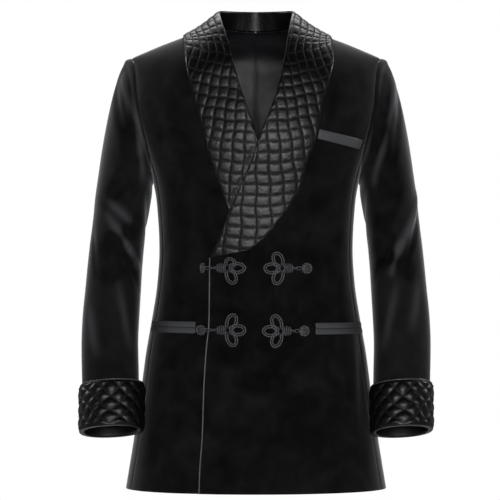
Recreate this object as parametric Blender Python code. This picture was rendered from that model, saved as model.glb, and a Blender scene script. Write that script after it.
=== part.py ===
"""A double-breasted velvet smoking jacket, filled out and empty, as on an unseen wearer.

Every piece that a maker would cut and sew on is an object of its own. Lengths in this file are
in millimetres and the finished meshes are in metres. +Z is up, the front faces -Y, +X is the
wearer's left, and the origin lies midway between the two points where the shoulders meet the neck.
"""

import math
from collections import namedtuple

import bmesh
import bpy
from mathutils import Vector

MM = 0.001
SAME_KEY = 1e-6

# Cloth
WALL = 2.0  # velvet with its lining
SATIN_WALL = 2.2  # shawl collar and cuffs, without their quilting
UNDERLAP_WALL = 1.6  # the collar where the other front covers it
STAND_WALL = 1.6
JET_WALL = 1.2
QUILT_RISE = 1.7  # how far a quilted square stands up
CUFF_RISE = 2.4
SEAM = 0.15  # half of the gap that is left along a seam
LAY = 0.5  # gap under a piece that lies on a panel

# Lap of the two fronts
OVER_LIFT = 1.4  # the left front rides this far out over the right one
UNDER_DROP = 3.5  # and the right front sinks this far in
LAP_FADES = (100.0, 150.0)  # distance from the middle where both come back to the body line

# Body
HEM = -800.0
LAPEL_FOOT = -402.0
RIDGE_Y = 8.0  # the shoulder seam runs this far behind the middle plane
FRONT_ROUND = 90.0  # height over which the chest rounds up into the shoulder
BACK_ROUND = 70.0
SEAM_ANGLE = 72.0  # the side panel starts this far round from the front, in degrees
BODY_DEGREE = 3.0  # length of a degree round the body
ARM_TOP = -57.5
ARM_BOTTOM = -265.0
ARM_SPREAD = 24.0  # half of the armhole's width, in degrees round the body
ARM_ROUND = 0.5  # how full the armhole is at its top, where 1 is an ellipse

Ring = namedtuple("Ring", "height half_width front back power")
RINGS = (
    Ring(30.0, 222.0, 70.0, 96.0, 2.4),
    Ring(-20.0, 220.0, 84.0, 103.0, 2.4),
    Ring(-62.0, 218.0, 98.0, 109.0, 2.4),
    Ring(-120.0, 219.0, 113.0, 114.0, 2.4),
    Ring(-160.0, 214.0, 120.0, 115.0, 2.4),
    Ring(-200.0, 202.0, 124.0, 112.0, 2.4),
    Ring(-250.0, 183.0, 122.0, 106.0, 2.4),
    Ring(-296.0, 173.0, 120.0, 98.0, 2.4),
    Ring(-340.0, 169.0, 118.8, 90.0, 2.4),
    Ring(-385.0, 167.0, 118.2, 86.0, 2.35),
    Ring(-441.0, 170.0, 119.4, 91.0, 2.3),
    Ring(-503.0, 179.0, 125.0, 106.0, 2.25),
    Ring(-566.0, 190.0, 131.0, 121.0, 2.2),
    Ring(-649.0, 201.0, 138.0, 132.0, 2.15),
    Ring(-711.0, 210.5, 142.0, 136.0, 2.1),
    Ring(-800.0, 225.0, 147.0, 141.0, 2.1),
)

Ridge = namedtuple("Ridge", "out height")
SHOULDER = (
    Ridge(0.0, 16.0),
    Ridge(40.0, 10.0),
    Ridge(78.0, 0.0),
    Ridge(97.0, -9.0),
    Ridge(125.0, -20.0),
    Ridge(156.0, -31.5),
    Ridge(183.0, -42.5),
    Ridge(218.0, -57.5),
    Ridge(260.0, -79.0),
)

# Front edges and roll lines, for the side of the wearer's left front. Each gives the place across
# at a height; the right front's own line is the second of each pair.
Edge = namedtuple("Edge", "height left right")
FRONT_EDGES = (
    Edge(-800.0, -95.0, 95.0),
    Edge(-757.0, -93.5, 94.0),
    Edge(-703.0, -89.5, 92.0),
    Edge(-624.0, -87.0, 89.0),
    Edge(-558.0, -83.0, 86.0),
    Edge(-512.0, -78.5, 82.0),
    Edge(LAPEL_FOOT, -77.0, 77.0),
    Edge(-367.0, -61.0, 63.0),
    Edge(-320.0, -44.0, 43.0),
    Edge(-262.0, -19.0, 21.0),
    Edge(-231.0, -6.0, 11.0),
    Edge(-192.0, 7.0, -1.0),
    Edge(-165.0, 18.0, -9.0),
    Edge(-126.0, 33.0, -22.0),
    Edge(-60.0, 48.0, -41.0),
)

Outline = namedtuple("Outline", "across height")
LEFT_OUTER = (
    Outline(129.0, -35.0),
    Outline(132.0, -65.0),
    Outline(126.0, -91.0),
    Outline(112.0, -142.0),
    Outline(101.0, -202.0),
    Outline(86.0, -239.0),
    Outline(76.0, -278.0),
    Outline(60.0, -309.0),
    Outline(37.0, -341.0),
    Outline(18.0, -365.0),
    Outline(-7.0, -386.0),
    Outline(-35.0, -394.5),
    Outline(-73.0, -400.5),
)
RIGHT_OUTER = (
    Outline(-122.0, -36.0),
    Outline(-121.0, -52.0),
    Outline(-114.0, -101.0),
    Outline(-103.0, -142.0),
    Outline(-93.0, -179.0),
    Outline(-81.0, -227.0),
    Outline(-66.0, -271.0),
    Outline(-54.0, -302.0),
    Outline(-46.0, -320.0),
    Outline(-38.0, -336.0),
)

# Quilting of the shawl collar: arcs about a far centre above, crossed by rays from it
QUILT_CENTRE = 250.0
QUILT = 18.0  # height of a square
QUILT_WIDE = 19.0  # its width, at the radius where it is nearly as wide as high
QUILT_RADIUS = 442.0
QUILT_TOP = 313.0  # the arc on which the lapel becomes the collar
LEAST_QUILT = 0.2  # the narrowest cell beside an outline, as a share of a whole one
TUCK = 15.0  # the under lapel reaches this far beneath the other front

# The collar from the top arc (0) over the shoulder (0.5) to the middle of the back (1). A drop
# is a height below the shoulder line, counted forwards where it is negative.
Collar = namedtuple("Collar", "along edge_x edge_drop neck_x neck_drop fold_x fold_y fold_z")
COLLAR = (
    Collar(0.00, 129.0, -13.4, 47.0, -68.9, 47.0, -93.0, -60.0),
    Collar(0.10, 130.0, -10.5, 53.5, -52.0, 50.5, -83.5, -41.0),
    Collar(0.20, 130.0, -7.5, 60.0, -36.0, 53.5, -68.0, -23.0),
    Collar(0.38, 129.0, -2.6, 72.0, -12.5, 59.5, -27.0, 8.0),
    Collar(0.50, 127.0, 0.0, 78.5, 0.0, 62.0, 6.0, 21.0),
    Collar(0.66, 116.0, 7.5, 69.0, 5.5, 55.0, 36.0, 25.0),
    Collar(0.82, 78.0, 25.0, 41.0, 14.5, 36.0, 59.0, 26.5),
    Collar(1.00, 0.0, 40.0, 0.0, 22.0, 0.0, 71.0, 27.0),
)
COLLAR_CELLS = 10
FOOT_ROWS = (0.35, 0.65, 0.85, 1.0)  # closer rows in the foot of a lapel, which is nearly level
FALL_CURVE = 1.6  # how soon the fall comes down onto the shoulder
ROLL_LIFT = 2.0  # how far the lapel stands off the front along its roll line
SHOULDER_EASE = 0.9  # how much more room the collar has where it bends over the shoulder

Arm = namedtuple("Arm", "height outer inner middle_y half_depth lean")
ARM = (
    Arm(-296.0, 278.0, 180.5, 5.0, 70.0, 0.0),
    Arm(-337.0, 282.0, 187.0, 4.0, 67.0, 2.0),
    Arm(-379.0, 287.0, 193.0, -1.0, 63.5, 8.0),
    Arm(-420.0, 291.0, 196.5, -8.5, 60.0, 13.0),
    Arm(-462.0, 294.5, 198.5, -19.0, 56.0, 15.5),
    Arm(-503.0, 298.0, 200.5, -30.5, 53.0, 16.0),
    Arm(-545.0, 299.5, 202.0, -42.5, 50.0, 16.0),
    Arm(-586.0, 299.0, 201.0, -54.0, 47.0, 16.0),
    Arm(-618.0, 297.5, 199.5, -63.0, 45.5, 16.0),
    Arm(-698.0, 295.0, 199.5, -86.0, 44.0, 16.0),
)
ARM_POWER = 2.2
FRONT_ARM_SEAM = 115.0  # degrees round the arm from its outer side, by the front
HIND_ARM_SEAM = (-80.0, 10.0)  # at the armhole and at the cuff
ELBOW = -402.0  # the top sleeve is two solids that meet here, so that its inside stays open

Cuff = namedtuple("Cuff", "outer inner")
CUFFS = {"left": Cuff(301.0, 195.0), "right": Cuff(301.0, 191.0)}
CUFF_TOP = -622.5
CUFF_BOTTOM = -696.0
CUFF_HALF_DEPTH = 51.0
CUFF_TIP = {"left": 0.05, "right": -0.05}  # slope across the end of each arm
TIP_FADES = (460.0, 600.0)  # how far below the collar seam that slope begins and is whole
ARM_MIDDLE = 250.0

# Soft folds that the cloth keeps, from one end to the other: a turn round the body or the arm in
# degrees, and a height. A positive depth is a trough.
Fold = namedtuple("Fold", "side from_turn from_z to_turn to_z width depth")
BODY_FOLDS = (
    Fold("right", 45.8, -78.0, 37.2, -150.0, 17.0, 1.8),
    Fold("right", 51.3, -120.0, 46.0, -215.0, 16.0, 2.2),
    Fold("left", 50.3, -92.0, 44.3, -165.0, 17.0, 1.8),
    Fold("left", 70.0, -545.0, 60.0, -700.0, 16.0, 2.4),
    Fold("left", 43.0, -640.0, 48.0, -760.0, 20.0, 2.6),
    Fold("right", 48.7, -600.0, 48.6, -770.0, 20.0, 2.4),
    Fold("right", 46.5, -360.0, 69.5, -395.0, 14.0, 1.6),
    Fold("left", 43.3, -366.0, 63.5, -392.0, 14.0, 1.5),
    Fold("left", 112.0, -345.0, 150.0, -378.0, 16.0, 2.0),
    Fold("right", 108.0, -352.0, 146.0, -390.0, 16.0, 2.0),
    Fold("left", 128.0, -170.0, 122.0, -262.0, 17.0, 2.2),
    Fold("right", 130.0, -160.0, 121.0, -255.0, 17.0, 2.2),
    Fold("left", 140.0, -560.0, 136.0, -770.0, 20.0, 2.6),
    Fold("right", 138.0, -590.0, 141.0, -775.0, 20.0, 2.4),
)
ARM_FOLDS = (
    Fold("right", 48.0, -112.0, 92.0, -205.0, 13.0, 3.4),
    Fold("right", 112.0, -232.0, 60.0, -305.0, 13.0, 2.8),
    Fold("right", 132.0, -345.0, 66.0, -392.0, 13.0, 3.2),
    Fold("right", 140.0, -400.0, 78.0, -436.0, 12.0, 2.6),
    Fold("left", 40.0, -105.0, 84.0, -196.0, 13.0, 3.4),
    Fold("left", 72.0, -128.0, 104.0, -246.0, 12.0, 2.8),
    Fold("left", 70.0, -262.0, 122.0, -362.0, 13.0, 3.0),
    Fold("left", 134.0, -384.0, 70.0, -424.0, 13.0, 3.0),
    Fold("right", 205.0, -352.0, 262.0, -396.0, 14.0, 2.6),
    Fold("left", 208.0, -348.0, 258.0, -404.0, 14.0, 2.6),
)

# Frog closures. The loops point inwards, and the barrel and its button outwards from the joint.
# One knot button stands on its edge, so it is narrower than it is high (button_wide).
Frog = namedtuple(
    "Frog", "name loops_to joint height upper_loop button_x button_radius button_wide button_on"
)
FROGS = (
    Frog("frog_upper_right", 1, -51.5, -419.5, 19.5, -90.5, 9.6, 0.42, "right"),
    Frog("frog_lower_right", 1, -51.0, -524.5, 25.0, -93.5, 9.2, 1.0, "right"),
    Frog("frog_upper_left", -1, 46.5, -420.0, 25.0, 84.0, 9.8, 1.0, "left"),
    Frog("frog_lower_left", -1, 44.0, -526.0, 25.0, 79.5, 9.8, 1.0, "left"),
)
LOOP_LONG = 25.0
LOOP_WIDE = 7.4  # from the loop's middle line to its side
LOOP_ROOT = 3.7
LOOP_POINTS = 9
CORD = 2.1  # radius of the braided cord
CORD_SIDES = 6
BUTTON_HIGH = 8.0
LOOP_SPREAD = 78.0  # degrees between two loops
CLOVER_SHIFT = 7.6  # from the joint to the middle of the three loops
Station = namedtuple("Station", "along half_height half_thick")
BARREL = (
    Station(0.0, 4.6, 2.4),
    Station(1.6, 6.6, 3.0),
    Station(7.0, 7.0, 3.2),
    Station(12.4, 6.6, 3.0),
    Station(14.0, 4.2, 2.4),
    Station(15.4, 3.3, 2.0),
)
BUTTON_PROFILE = ((0.0, 0.72), (0.22, 0.97), (0.55, 0.95), (0.86, 0.62), (1.0, 0.2))
ROUND = 10

Pocket = namedtuple("Pocket", "side from_x to_turn top")
LOWER_POCKETS = (Pocket("right", -103.5, 77.0, -510.0), Pocket("left", 99.5, 80.0, -512.5))
JET = 9.6
SLIT = 0.5
Welt = namedtuple("Welt", "from_x from_z to_x to_z height")
BREAST_WELT = Welt(106.5, -184.5, 181.0, -201.0, 16.0)
PIPING = 1.1


def smooth(pairs, at):
    """A curve through the pairs (place, value) that never swings past them."""
    pairs = sorted(pairs)
    places = [place for place, value in pairs]
    values = [value for place, value in pairs]
    if at <= places[0]:
        return values[0]
    if at >= places[-1]:
        return values[-1]
    spans = [b - a for a, b in zip(places, places[1:])]
    rises = [(b - a) / span for a, b, span in zip(values, values[1:], spans)]
    slopes = [rises[0]]
    for before, after in zip(rises, rises[1:]):
        same_way = before * after > 0
        slopes.append(2 * before * after / (before + after) if same_way else 0.0)
    slopes.append(rises[-1])
    k = max(i for i in range(len(spans)) if places[i] <= at)
    t = (at - places[k]) / spans[k]
    return (
        values[k] * (2 * t**3 - 3 * t**2 + 1)
        + slopes[k] * spans[k] * (t**3 - 2 * t**2 + t)
        + values[k + 1] * (3 * t**2 - 2 * t**3)
        + slopes[k + 1] * spans[k] * (t**3 - t**2)
    )


def column(table, at, name):
    """One named column of a table, read smoothly at a place in its first column."""
    return smooth([(row[0], getattr(row, name)) for row in table], at)


def fade(start, end, at):
    """0 before start, 1 after end, and a soft step between."""
    t = min(1.0, max(0.0, (at - start) / (end - start)))
    return t * t * (3 - 2 * t)


def mix(a, b, t):
    return a + (b - a) * t


def power(value, exponent):
    """A power that keeps the sign."""
    return math.copysign(abs(value) ** exponent, value)


def ridge(x):
    return column(SHOULDER, abs(x), "height")


RUN_OUT = 0.2  # a fold dies away over this share of its length past each end


def fold_depth(folds, side, turn, z, degree):
    """How deep the folds of one side lie at a place; degree is the length of a degree there."""
    depth = 0.0
    for fold in folds:
        if fold.side != side:
            continue
        start = Vector((fold.from_turn * degree, fold.from_z))
        line = Vector((fold.to_turn * degree, fold.to_z)) - start
        place = Vector((turn * degree, z)) - start
        t = place.dot(line) / line.length_squared
        if not -RUN_OUT < t < 1 + RUN_OUT:
            continue
        off = abs(place.x * line.y - place.y * line.x) / line.length
        swell = math.sin(math.pi * (t + RUN_OUT) / (1 + 2 * RUN_OUT)) ** 0.8
        depth += fold.depth * swell * math.exp(-((off / fold.width) ** 2))
    return depth


# The body surface. An angle runs from the middle of the front (0) by the wearer's left side (90)
# to the middle of the back (180); the other side is negative.
def body_point(angle, z):
    turn = math.radians(angle)
    half_width = column(RINGS, z, "half_width")
    exponent = 2 / column(RINGS, z, "power")
    x = half_width * power(math.sin(turn), exponent)
    depth = column(RINGS, z, "front" if math.cos(turn) > 0 else "back")
    y = -depth * power(math.cos(turn), exponent)
    drop = max(0.0, ridge(x) - z)
    height = FRONT_ROUND if math.cos(turn) > 0 else BACK_ROUND
    rise = math.sqrt(1 - (1 - min(1.0, drop / height)) ** 2)
    return Vector((x, mix(RIDGE_Y, y, rise), z))


def body_normal(angle, z):
    here = body_point(angle, z)
    drop = ridge(here.x) - z
    if drop < 0.3:
        slope = ridge(here.x + 1) - ridge(here.x - 1)
        return Vector((-slope, 0, 2)).normalized()
    along = body_point(angle + 0.5, z) - body_point(angle - 0.5, z)
    step = min(0.5, drop / 2)
    up = body_point(angle, z + step) - body_point(angle, z - step)
    return along.cross(up).normalized()


def angle_at(x, z, back=False):
    """The angle at which the ring of a height passes a place across."""
    half_width = column(RINGS, z, "half_width")
    share = min(1.0, abs(x) / half_width) ** (column(RINGS, z, "power") / 2)
    angle = math.degrees(math.asin(share))
    return math.copysign(180 - angle if back else angle, x)


def lap_lift(side, x, z):
    """How far out of the body line a front lies, because the two fronts lap over each other."""
    below_neck = fade(60.0, 120.0, -z)
    if side == "left":
        return OVER_LIFT * below_neck * (1 - fade(60.0, LAP_FADES[1], x))
    return -UNDER_DROP * below_neck * (1 - fade(LAP_FADES[0], LAP_FADES[1], -x))


def cloth(side, angle, z, lift=0.0):
    """A point at a lift over the outer face of one side's cloth, and the way out there."""
    out = body_normal(angle, z)
    point = body_point(angle, z)
    turn = angle if side == "left" else -angle
    sunk = fold_depth(BODY_FOLDS, side, turn, z, BODY_DEGREE)
    return point + out * (lap_lift(side, point.x, z) - sunk + lift), out


def on_front(side, x, z, lift=0.0):
    return cloth(side, angle_at(x, z), z, lift)


def armhole(turn):
    """Angle and height of a point of the armhole: 0 is its top, 90 its front, 180 its bottom."""
    middle = (ARM_TOP + ARM_BOTTOM) / 2
    up = math.cos(math.radians(turn))
    ahead = power(math.sin(math.radians(turn)), ARM_ROUND if up > 0 else 1.0)
    return 90 - ARM_SPREAD * ahead, middle + (ARM_TOP - middle) * up


def lower_armhole_turn(angle):
    """Where the lower half of the armhole passes an angle round the body."""
    return 180 - math.degrees(math.asin((90 - angle) / ARM_SPREAD))


# Turning rows of points into closed walls
def clear_scene():
    for old in list(bpy.data.objects):
        bpy.data.objects.remove(old, do_unlink=True)


def make_material(name, colour, roughness):
    made = bpy.data.materials.new(name)
    made.use_nodes = True
    shader = made.node_tree.nodes["Principled BSDF"]
    shader.inputs["Base Color"].default_value = (*colour, 1)
    shader.inputs["Roughness"].default_value = roughness
    made.diffuse_color = (*colour, 1)
    return made


def add_object(name, points, faces, material):
    """One closed mesh with its faces pointing out, as an object of its own."""
    mesh = bpy.data.meshes.new(name)
    mesh.from_pydata([point * MM for point in points], [], faces)
    shape = bmesh.new()
    shape.from_mesh(mesh)
    bmesh.ops.recalc_face_normals(shape, faces=shape.faces)
    if shape.calc_volume(signed=True) < 0:
        bmesh.ops.reverse_faces(shape, faces=shape.faces)
    shape.to_mesh(mesh)
    shape.free()
    mesh.shade_smooth()
    mesh.materials.append(material)
    made = bpy.data.objects.new(name, mesh)
    bpy.context.collection.objects.link(made)
    return made


def quilt_cells(keys_a, row_a, keys_b, row_b):
    """Cells between two rows of vertex numbers: squares where their keys agree, or triangles."""
    cells = []
    i = j = 0
    while i < len(row_a) - 1 or j < len(row_b) - 1:
        more_a, more_b = i < len(row_a) - 1, j < len(row_b) - 1
        agree = more_a and more_b and abs(keys_a[i] - keys_b[j]) < SAME_KEY
        if agree and abs(keys_a[i + 1] - keys_b[j + 1]) < SAME_KEY:
            cells.append((row_a[i], row_b[j], row_b[j + 1], row_a[i + 1]))
            i += 1
            j += 1
        elif not more_b or more_a and keys_a[i + 1] <= keys_b[j + 1]:
            cells.append((row_a[i], row_b[j], row_a[i + 1]))
            i += 1
        else:
            cells.append((row_a[i], row_b[j], row_b[j + 1]))
            j += 1
    return cells


def diamonds(row_a, row_b, k):
    """Triangles between two rows of as many points, whose diagonals change from cell to cell."""
    faces = []
    for i in range(len(row_a) - 1):
        a, b, c, d = row_a[i], row_b[i], row_b[i + 1], row_a[i + 1]
        faces += [(a, b, c), (a, c, d)] if (i + k) % 2 == 0 else [(a, b, d), (b, c, d)]
    return faces


def add_wall(name, outer, inner, material, round_rows=False):
    """A wall between two faces given as rows of points; round_rows closes each row on itself."""
    points, rows, count = numbered(outer, inner, round_rows)
    faces = []
    for k in range(len(rows) - 1):
        for cell in diamonds(rows[k], rows[k + 1], k):
            faces.append(cell)
            faces.append(tuple(count + number for number in reversed(cell)))
    return add_object(name, points, faces + rim_faces(rows, count, round_rows), material)


def add_quilted_wall(name, outer, inner, keys, material):
    """A wall whose whole squares stand up in their middles, over a plain inner face."""
    points, rows, count = numbered(outer, inner, False)
    faces = []
    for k in range(len(rows) - 1):
        for cell in quilt_cells(keys[k], rows[k], keys[k + 1], rows[k + 1]):
            faces.append(tuple(count + number for number in reversed(cell)))
            if len(cell) == 3:
                faces.append(cell)
                continue
            thick = sum((points[n] - points[count + n] for n in cell), Vector()) / 4
            share = (thick.length - UNDERLAP_WALL) / (SATIN_WALL - UNDERLAP_WALL)
            middle = sum((points[n] for n in cell), Vector()) / 4
            points.append(middle + thick.normalized() * QUILT_RISE * max(0.0, min(1.0, share)))
            top = len(points) - 1
            faces += [(a, b, top) for a, b in zip(cell, cell[1:] + cell[:1])]
    return add_object(name, points, faces + rim_faces(rows, count, False), material)


def numbered(outer, inner, round_rows):
    """All the points of a wall, the vertex numbers of its outer rows, and how many those are."""
    points = [point for row in outer for point in row]
    count = len(points)
    points += [point for row in inner for point in row]
    rows = []
    start = 0
    for row in outer:
        numbers = list(range(start, start + len(row)))
        start += len(row)
        rows.append(numbers + numbers[:1] if round_rows else numbers)
    return points, rows, count


def rim_faces(rows, count, round_rows):
    rims = [rows[0], rows[-1][::-1]]
    if not round_rows:
        rims += [[row[0] for row in rows][::-1], [row[-1] for row in rows]]
    faces = []
    for rim in rims:
        faces += [(a, b, count + b, count + a) for a, b in zip(rim, rim[1:])]
    return faces


def wall_from(name, faces, thickness, material):
    """A wall from rows of (point, way out) pairs, thickened inwards."""
    outer = [[point for point, way in row] for row in faces]
    inner = [[point - way * thickness for point, way in row] for row in faces]
    return add_wall(name, outer, inner, material)


def lofted(name, rings, material, closed=False):
    """A solid through rings of as many points, with flat ends unless it is closed on itself."""
    count, sides = len(rings), len(rings[0])
    points = [point for ring in rings for point in ring]
    faces = []
    for k in range(count if closed else count - 1):
        a, b = k * sides, (k + 1) % count * sides
        for i in range(sides):
            j = (i + 1) % sides
            faces.append((a + i, a + j, b + j, b + i))
    if not closed:
        faces.append(tuple(range(sides)))
        faces.append(tuple(range((count - 1) * sides, count * sides)))
    return add_object(name, points, faces, material)


def cord_rings(path, ways, radius, sides, closed=False):
    """Rings round a cord that lies along a path; ways are the ways out of the cloth."""
    rings = []
    for k, here in enumerate(path):
        before = path[k - 1] if closed or k else here
        after = path[(k + 1) % len(path)] if closed or k < len(path) - 1 else here
        along = (after - before).normalized()
        across = along.cross(ways[k]).normalized()
        out = across.cross(along)
        turns = [2 * math.pi * (i + 0.5) / sides for i in range(sides)]
        rings.append([here + (across * math.cos(t) + out * math.sin(t)) * radius for t in turns])
    return rings


# Fronts, backs and side panels
FRONT_COLUMNS = 11
BACK_COLUMNS = 8
CLOSE_AT_EDGE = 1.2  # columns of a front lie closer together towards its free edge
EDGE_ROWS = 11  # from the hem to the foot of the lapel
LAPEL_ROWS = 5  # and on to where the side seam meets the armhole
SIDE_ROWS = 16
HIGH_ROWS = 11  # and on to the shoulder seam
BODY_RADIUS = 180.0
SEAM_TURN = math.degrees(SEAM / BODY_RADIUS)  # half of a seam's gap as an angle round the body


def collar(side, along):
    """The collar's row at a place along it, drawn to its own side's roll line and edge."""
    row = Collar(*(column(COLLAR, along, name) for name in Collar._fields))
    roll = abs(column(FRONT_EDGES, COLLAR[0].fold_z, side))
    shift = (roll - COLLAR[0].fold_x) * (1 - fade(0.0, 0.4, along))
    outer = LEFT_OUTER[0] if side == "left" else RIGHT_OUTER[0]
    return row._replace(
        along=along,
        edge_x=row.edge_x * mix(abs(outer.across) / COLLAR[0].edge_x, 1.0, along),
        neck_x=row.neck_x + shift,
        fold_x=row.fold_x + shift,
    )


def front_inner_edge(side, z):
    """How far across the inner edge of a front lies: front edge, roll line, then neckline."""
    if z <= COLLAR[0].fold_z:
        return column(FRONT_EDGES, z, side)
    neck = []
    for k in range(11):
        row = collar(side, k / 20)
        neck.append((ridge(row.neck_x) + row.neck_drop, row.neck_x))
    return smooth(neck, z) * (1 if side == "left" else -1)


def back_top(x):
    """The height of a back's top edge: its neckline, then the shoulder seam."""
    neck = [(row.neck_x, row.neck_drop) for row in COLLAR if row.along >= 0.5]
    drop = smooth(neck, abs(x)) if abs(x) < max(neck)[0] else 0.0
    return ridge(x) - drop


def lower_heights(corner):
    """Heights of a panel's rows below the place where the side seam meets the armhole."""
    edge = [mix(HEM, LAPEL_FOOT, k / EDGE_ROWS) for k in range(EDGE_ROWS)]
    return edge + [mix(LAPEL_FOOT, corner, k / LAPEL_ROWS) for k in range(LAPEL_ROWS)]


def upper_rows(inner_top, corner):
    """Heights of the inner ends and armhole places of the rows above the side seam."""
    first = lower_armhole_turn(SEAM_ANGLE)
    rows = []
    for k in range(HIGH_ROWS + 1):
        angle, z = armhole(mix(first, 0.0, k / HIGH_ROWS))
        share = (z - corner) / (ARM_TOP - corner)
        rows.append((mix(corner, inner_top, share), angle, z, share))
    return rows


def panel_row(inner, outer, columns, bend, top, back):
    """Angles and heights of one row of a panel; bend draws it to the panel's top edge."""
    places = []
    for i in range(columns + 1):
        u = 1 - (1 - i / columns) ** CLOSE_AT_EDGE
        x = mix(inner[0], outer[0], u)
        straight = mix(inner[1], outer[1], u)
        bow = top(x) - mix(top(inner[0]), top(outer[0]), u)
        z = top(x) if bend == 1 else min(straight + bow * bend, top(x))
        places.append((angle_at(x, z, back), z))
    return places


def build_front(side):
    sign = 1 if side == "left" else -1
    corner = armhole(lower_armhole_turn(SEAM_ANGLE))[1]
    rows = []
    for z in lower_heights(corner):
        outer = (sign * body_point(SEAM_ANGLE - SEAM_TURN, z).x, z)
        inner = (front_inner_edge(side, z), z)
        rows.append(panel_row(inner, outer, FRONT_COLUMNS, 0.0, ridge, False))
    for inner_z, angle, z, share in upper_rows(0.0, corner):
        outer = (sign * (body_point(angle, z).x - SEAM), z)
        inner = (front_inner_edge(side, inner_z), inner_z)
        rows.append(panel_row(inner, outer, FRONT_COLUMNS, share**2, ridge, False))
    apart = Vector((0, -SEAM, 0))
    faces = []
    for row in rows:
        lifted = [cloth(side, angle, z) for angle, z in row]
        faces.append([(point + apart, way) for point, way in lifted])
    wall_from(f"front_{side}", faces, WALL, velvet)


def build_back(side):
    sign = 1 if side == "left" else -1
    corner = armhole(lower_armhole_turn(SEAM_ANGLE))[1]
    rows = []
    for z in lower_heights(corner):
        outer = (sign * body_point(180 - SEAM_ANGLE + SEAM_TURN, z).x, z)
        rows.append(panel_row((sign * SEAM, z), outer, BACK_COLUMNS, 0.0, back_top, True))
    for inner_z, angle, z, share in upper_rows(back_top(0.0), corner):
        outer = (sign * (body_point(180 - angle, z).x - SEAM), z)
        inner = (sign * SEAM, inner_z)
        rows.append(panel_row(inner, outer, BACK_COLUMNS, share**2, back_top, True))
    apart = Vector((0, SEAM, 0))
    faces = []
    for row in rows:
        lifted = [cloth(side, angle, z) for angle, z in row]
        faces.append([(point + apart, way) for point, way in lifted])
    wall_from(f"back_{side}", faces, WALL, velvet)


def build_side(side):
    sign = 1 if side == "left" else -1
    half = 90 - SEAM_ANGLE - SEAM_TURN
    faces = []
    for k in range(SIDE_ROWS + 1):
        row = []
        for i in range(5):
            angle = mix(90 - half, 90 + half, i / 4)
            top = armhole(lower_armhole_turn(angle))[1]
            z = mix(HEM, top, k / SIDE_ROWS)
            row.append(cloth(side, sign * angle, z))
        faces.append(row)
    wall_from(f"side_{side}", faces, WALL, velvet)


# Sleeves: a sleeve head that curves out of the armhole, then rings down the arm
ARM_DEGREE = 1.0
ARM_RADIUS = 50.0
HEAD_ROWS = 8
HEAD_LEAVES = 0.38  # how far the head keeps its way out of the armhole
HEAD_ARRIVES = 0.9  # and how early it takes up the way of the arm
HEAD_OUT = (0.1, 1.0)  # the way out of the armhole, at its bottom and at its top
HEAD_DOWN = (1.0, 0.35)
HEAD_AHEAD = 0.35
HEAD_FULL = 0.7
ARM_WAY = (0.14, -0.02, -1.0)
SLEEVE_HEM = CUFF_BOTTOM + 0.5
ARM_HEIGHTS = (-325.0, -352.0, -378.0, -402.0, -426.0, -458.0, -500.0, -545.0, -595.0, -640.0)


def arm_ring(turn, z, width=0.0, depth=0.0, outer=None, inner=None):
    """A point round the left arm at a height; 0 is its outer side and 90 its front."""
    outer = column(ARM, z, "outer") if outer is None else outer
    inner = column(ARM, z, "inner") if inner is None else inner
    lean = math.radians(column(ARM, z, "lean"))
    across = power(math.cos(math.radians(turn)), 2 / ARM_POWER)
    ahead = power(math.sin(math.radians(turn)), 2 / ARM_POWER)
    reach = (column(ARM, z, "half_depth") + depth) * ahead
    x = (outer + inner) / 2 + ((outer - inner) / 2 + width) * across
    y = column(ARM, z, "middle_y") - reach * math.cos(lean)
    return Vector((x, y, z + reach * math.sin(lean)))


def tip(side, point):
    """A point of the left arm with the slope that the arm's end has on one side."""
    slope = CUFF_TIP[side] * fade(TIP_FADES[0], TIP_FADES[1], -point.z)
    return Vector((point.x, point.y, point.z + slope * (point.x - ARM_MIDDLE)))


def sleeve_line(side, turn, down):
    """A point of the left sleeve: down runs from the armhole (0) to the arm (1) and the hem (2)."""
    first = ARM[0].height
    if down >= 1:
        return tip(side, arm_ring(turn, mix(first, SLEEVE_HEM, down - 1)))
    angle, z = armhole(turn)
    sign = 1 if side == "left" else -1
    start = cloth(side, sign * angle, z)[0]
    start.x = sign * start.x + 3 * SEAM
    end = arm_ring(turn, first)
    rise = (1 + math.cos(math.radians(turn))) / 2
    out = mix(HEAD_OUT[0], HEAD_OUT[1], rise**HEAD_FULL)
    ahead = -HEAD_AHEAD * math.sin(math.radians(turn))
    leave = Vector((out, ahead, -mix(HEAD_DOWN[0], HEAD_DOWN[1], rise)))
    arrive = Vector(ARM_WAY)
    span = (end - start).length
    t = down
    return (
        start * (2 * t**3 - 3 * t**2 + 1)
        + leave * span * HEAD_LEAVES * (t**3 - 2 * t**2 + t)
        + end * (3 * t**2 - 2 * t**3)
        + arrive * span * HEAD_ARRIVES * (t**3 - t**2)
    )


def sleeve_cloth(side, turn, down):
    """A point of a sleeve with its folds, and the way out there."""
    here = sleeve_line(side, turn, down)
    round_arm = sleeve_line(side, turn + 1, down) - sleeve_line(side, turn - 1, down)
    step = 0.01
    low = min(2.0, down + step)
    high = max(0.0, down - step)
    along = sleeve_line(side, turn, low) - sleeve_line(side, turn, high)
    way = round_arm.cross(along).normalized()
    if way.dot(here - arm_ring(turn + 180, max(min(here.z, -300.0), -700.0))) < 0:
        way.negate()
    free = fade(0.0, 0.25, down)
    point = here - way * fold_depth(ARM_FOLDS, side, turn % 360, here.z, ARM_DEGREE) * free
    if side == "right":
        return Vector((-point.x, point.y, point.z)), Vector((-way.x, way.y, way.z))
    return point, way


def sleeve_downs():
    head = [(k / HEAD_ROWS) ** 1.3 for k in range(HEAD_ROWS + 1)]
    first = ARM[0].height
    arm = [1 + (z - first) / (SLEEVE_HEM - first) for z in ARM_HEIGHTS]
    return head + arm + [2.0]


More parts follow.
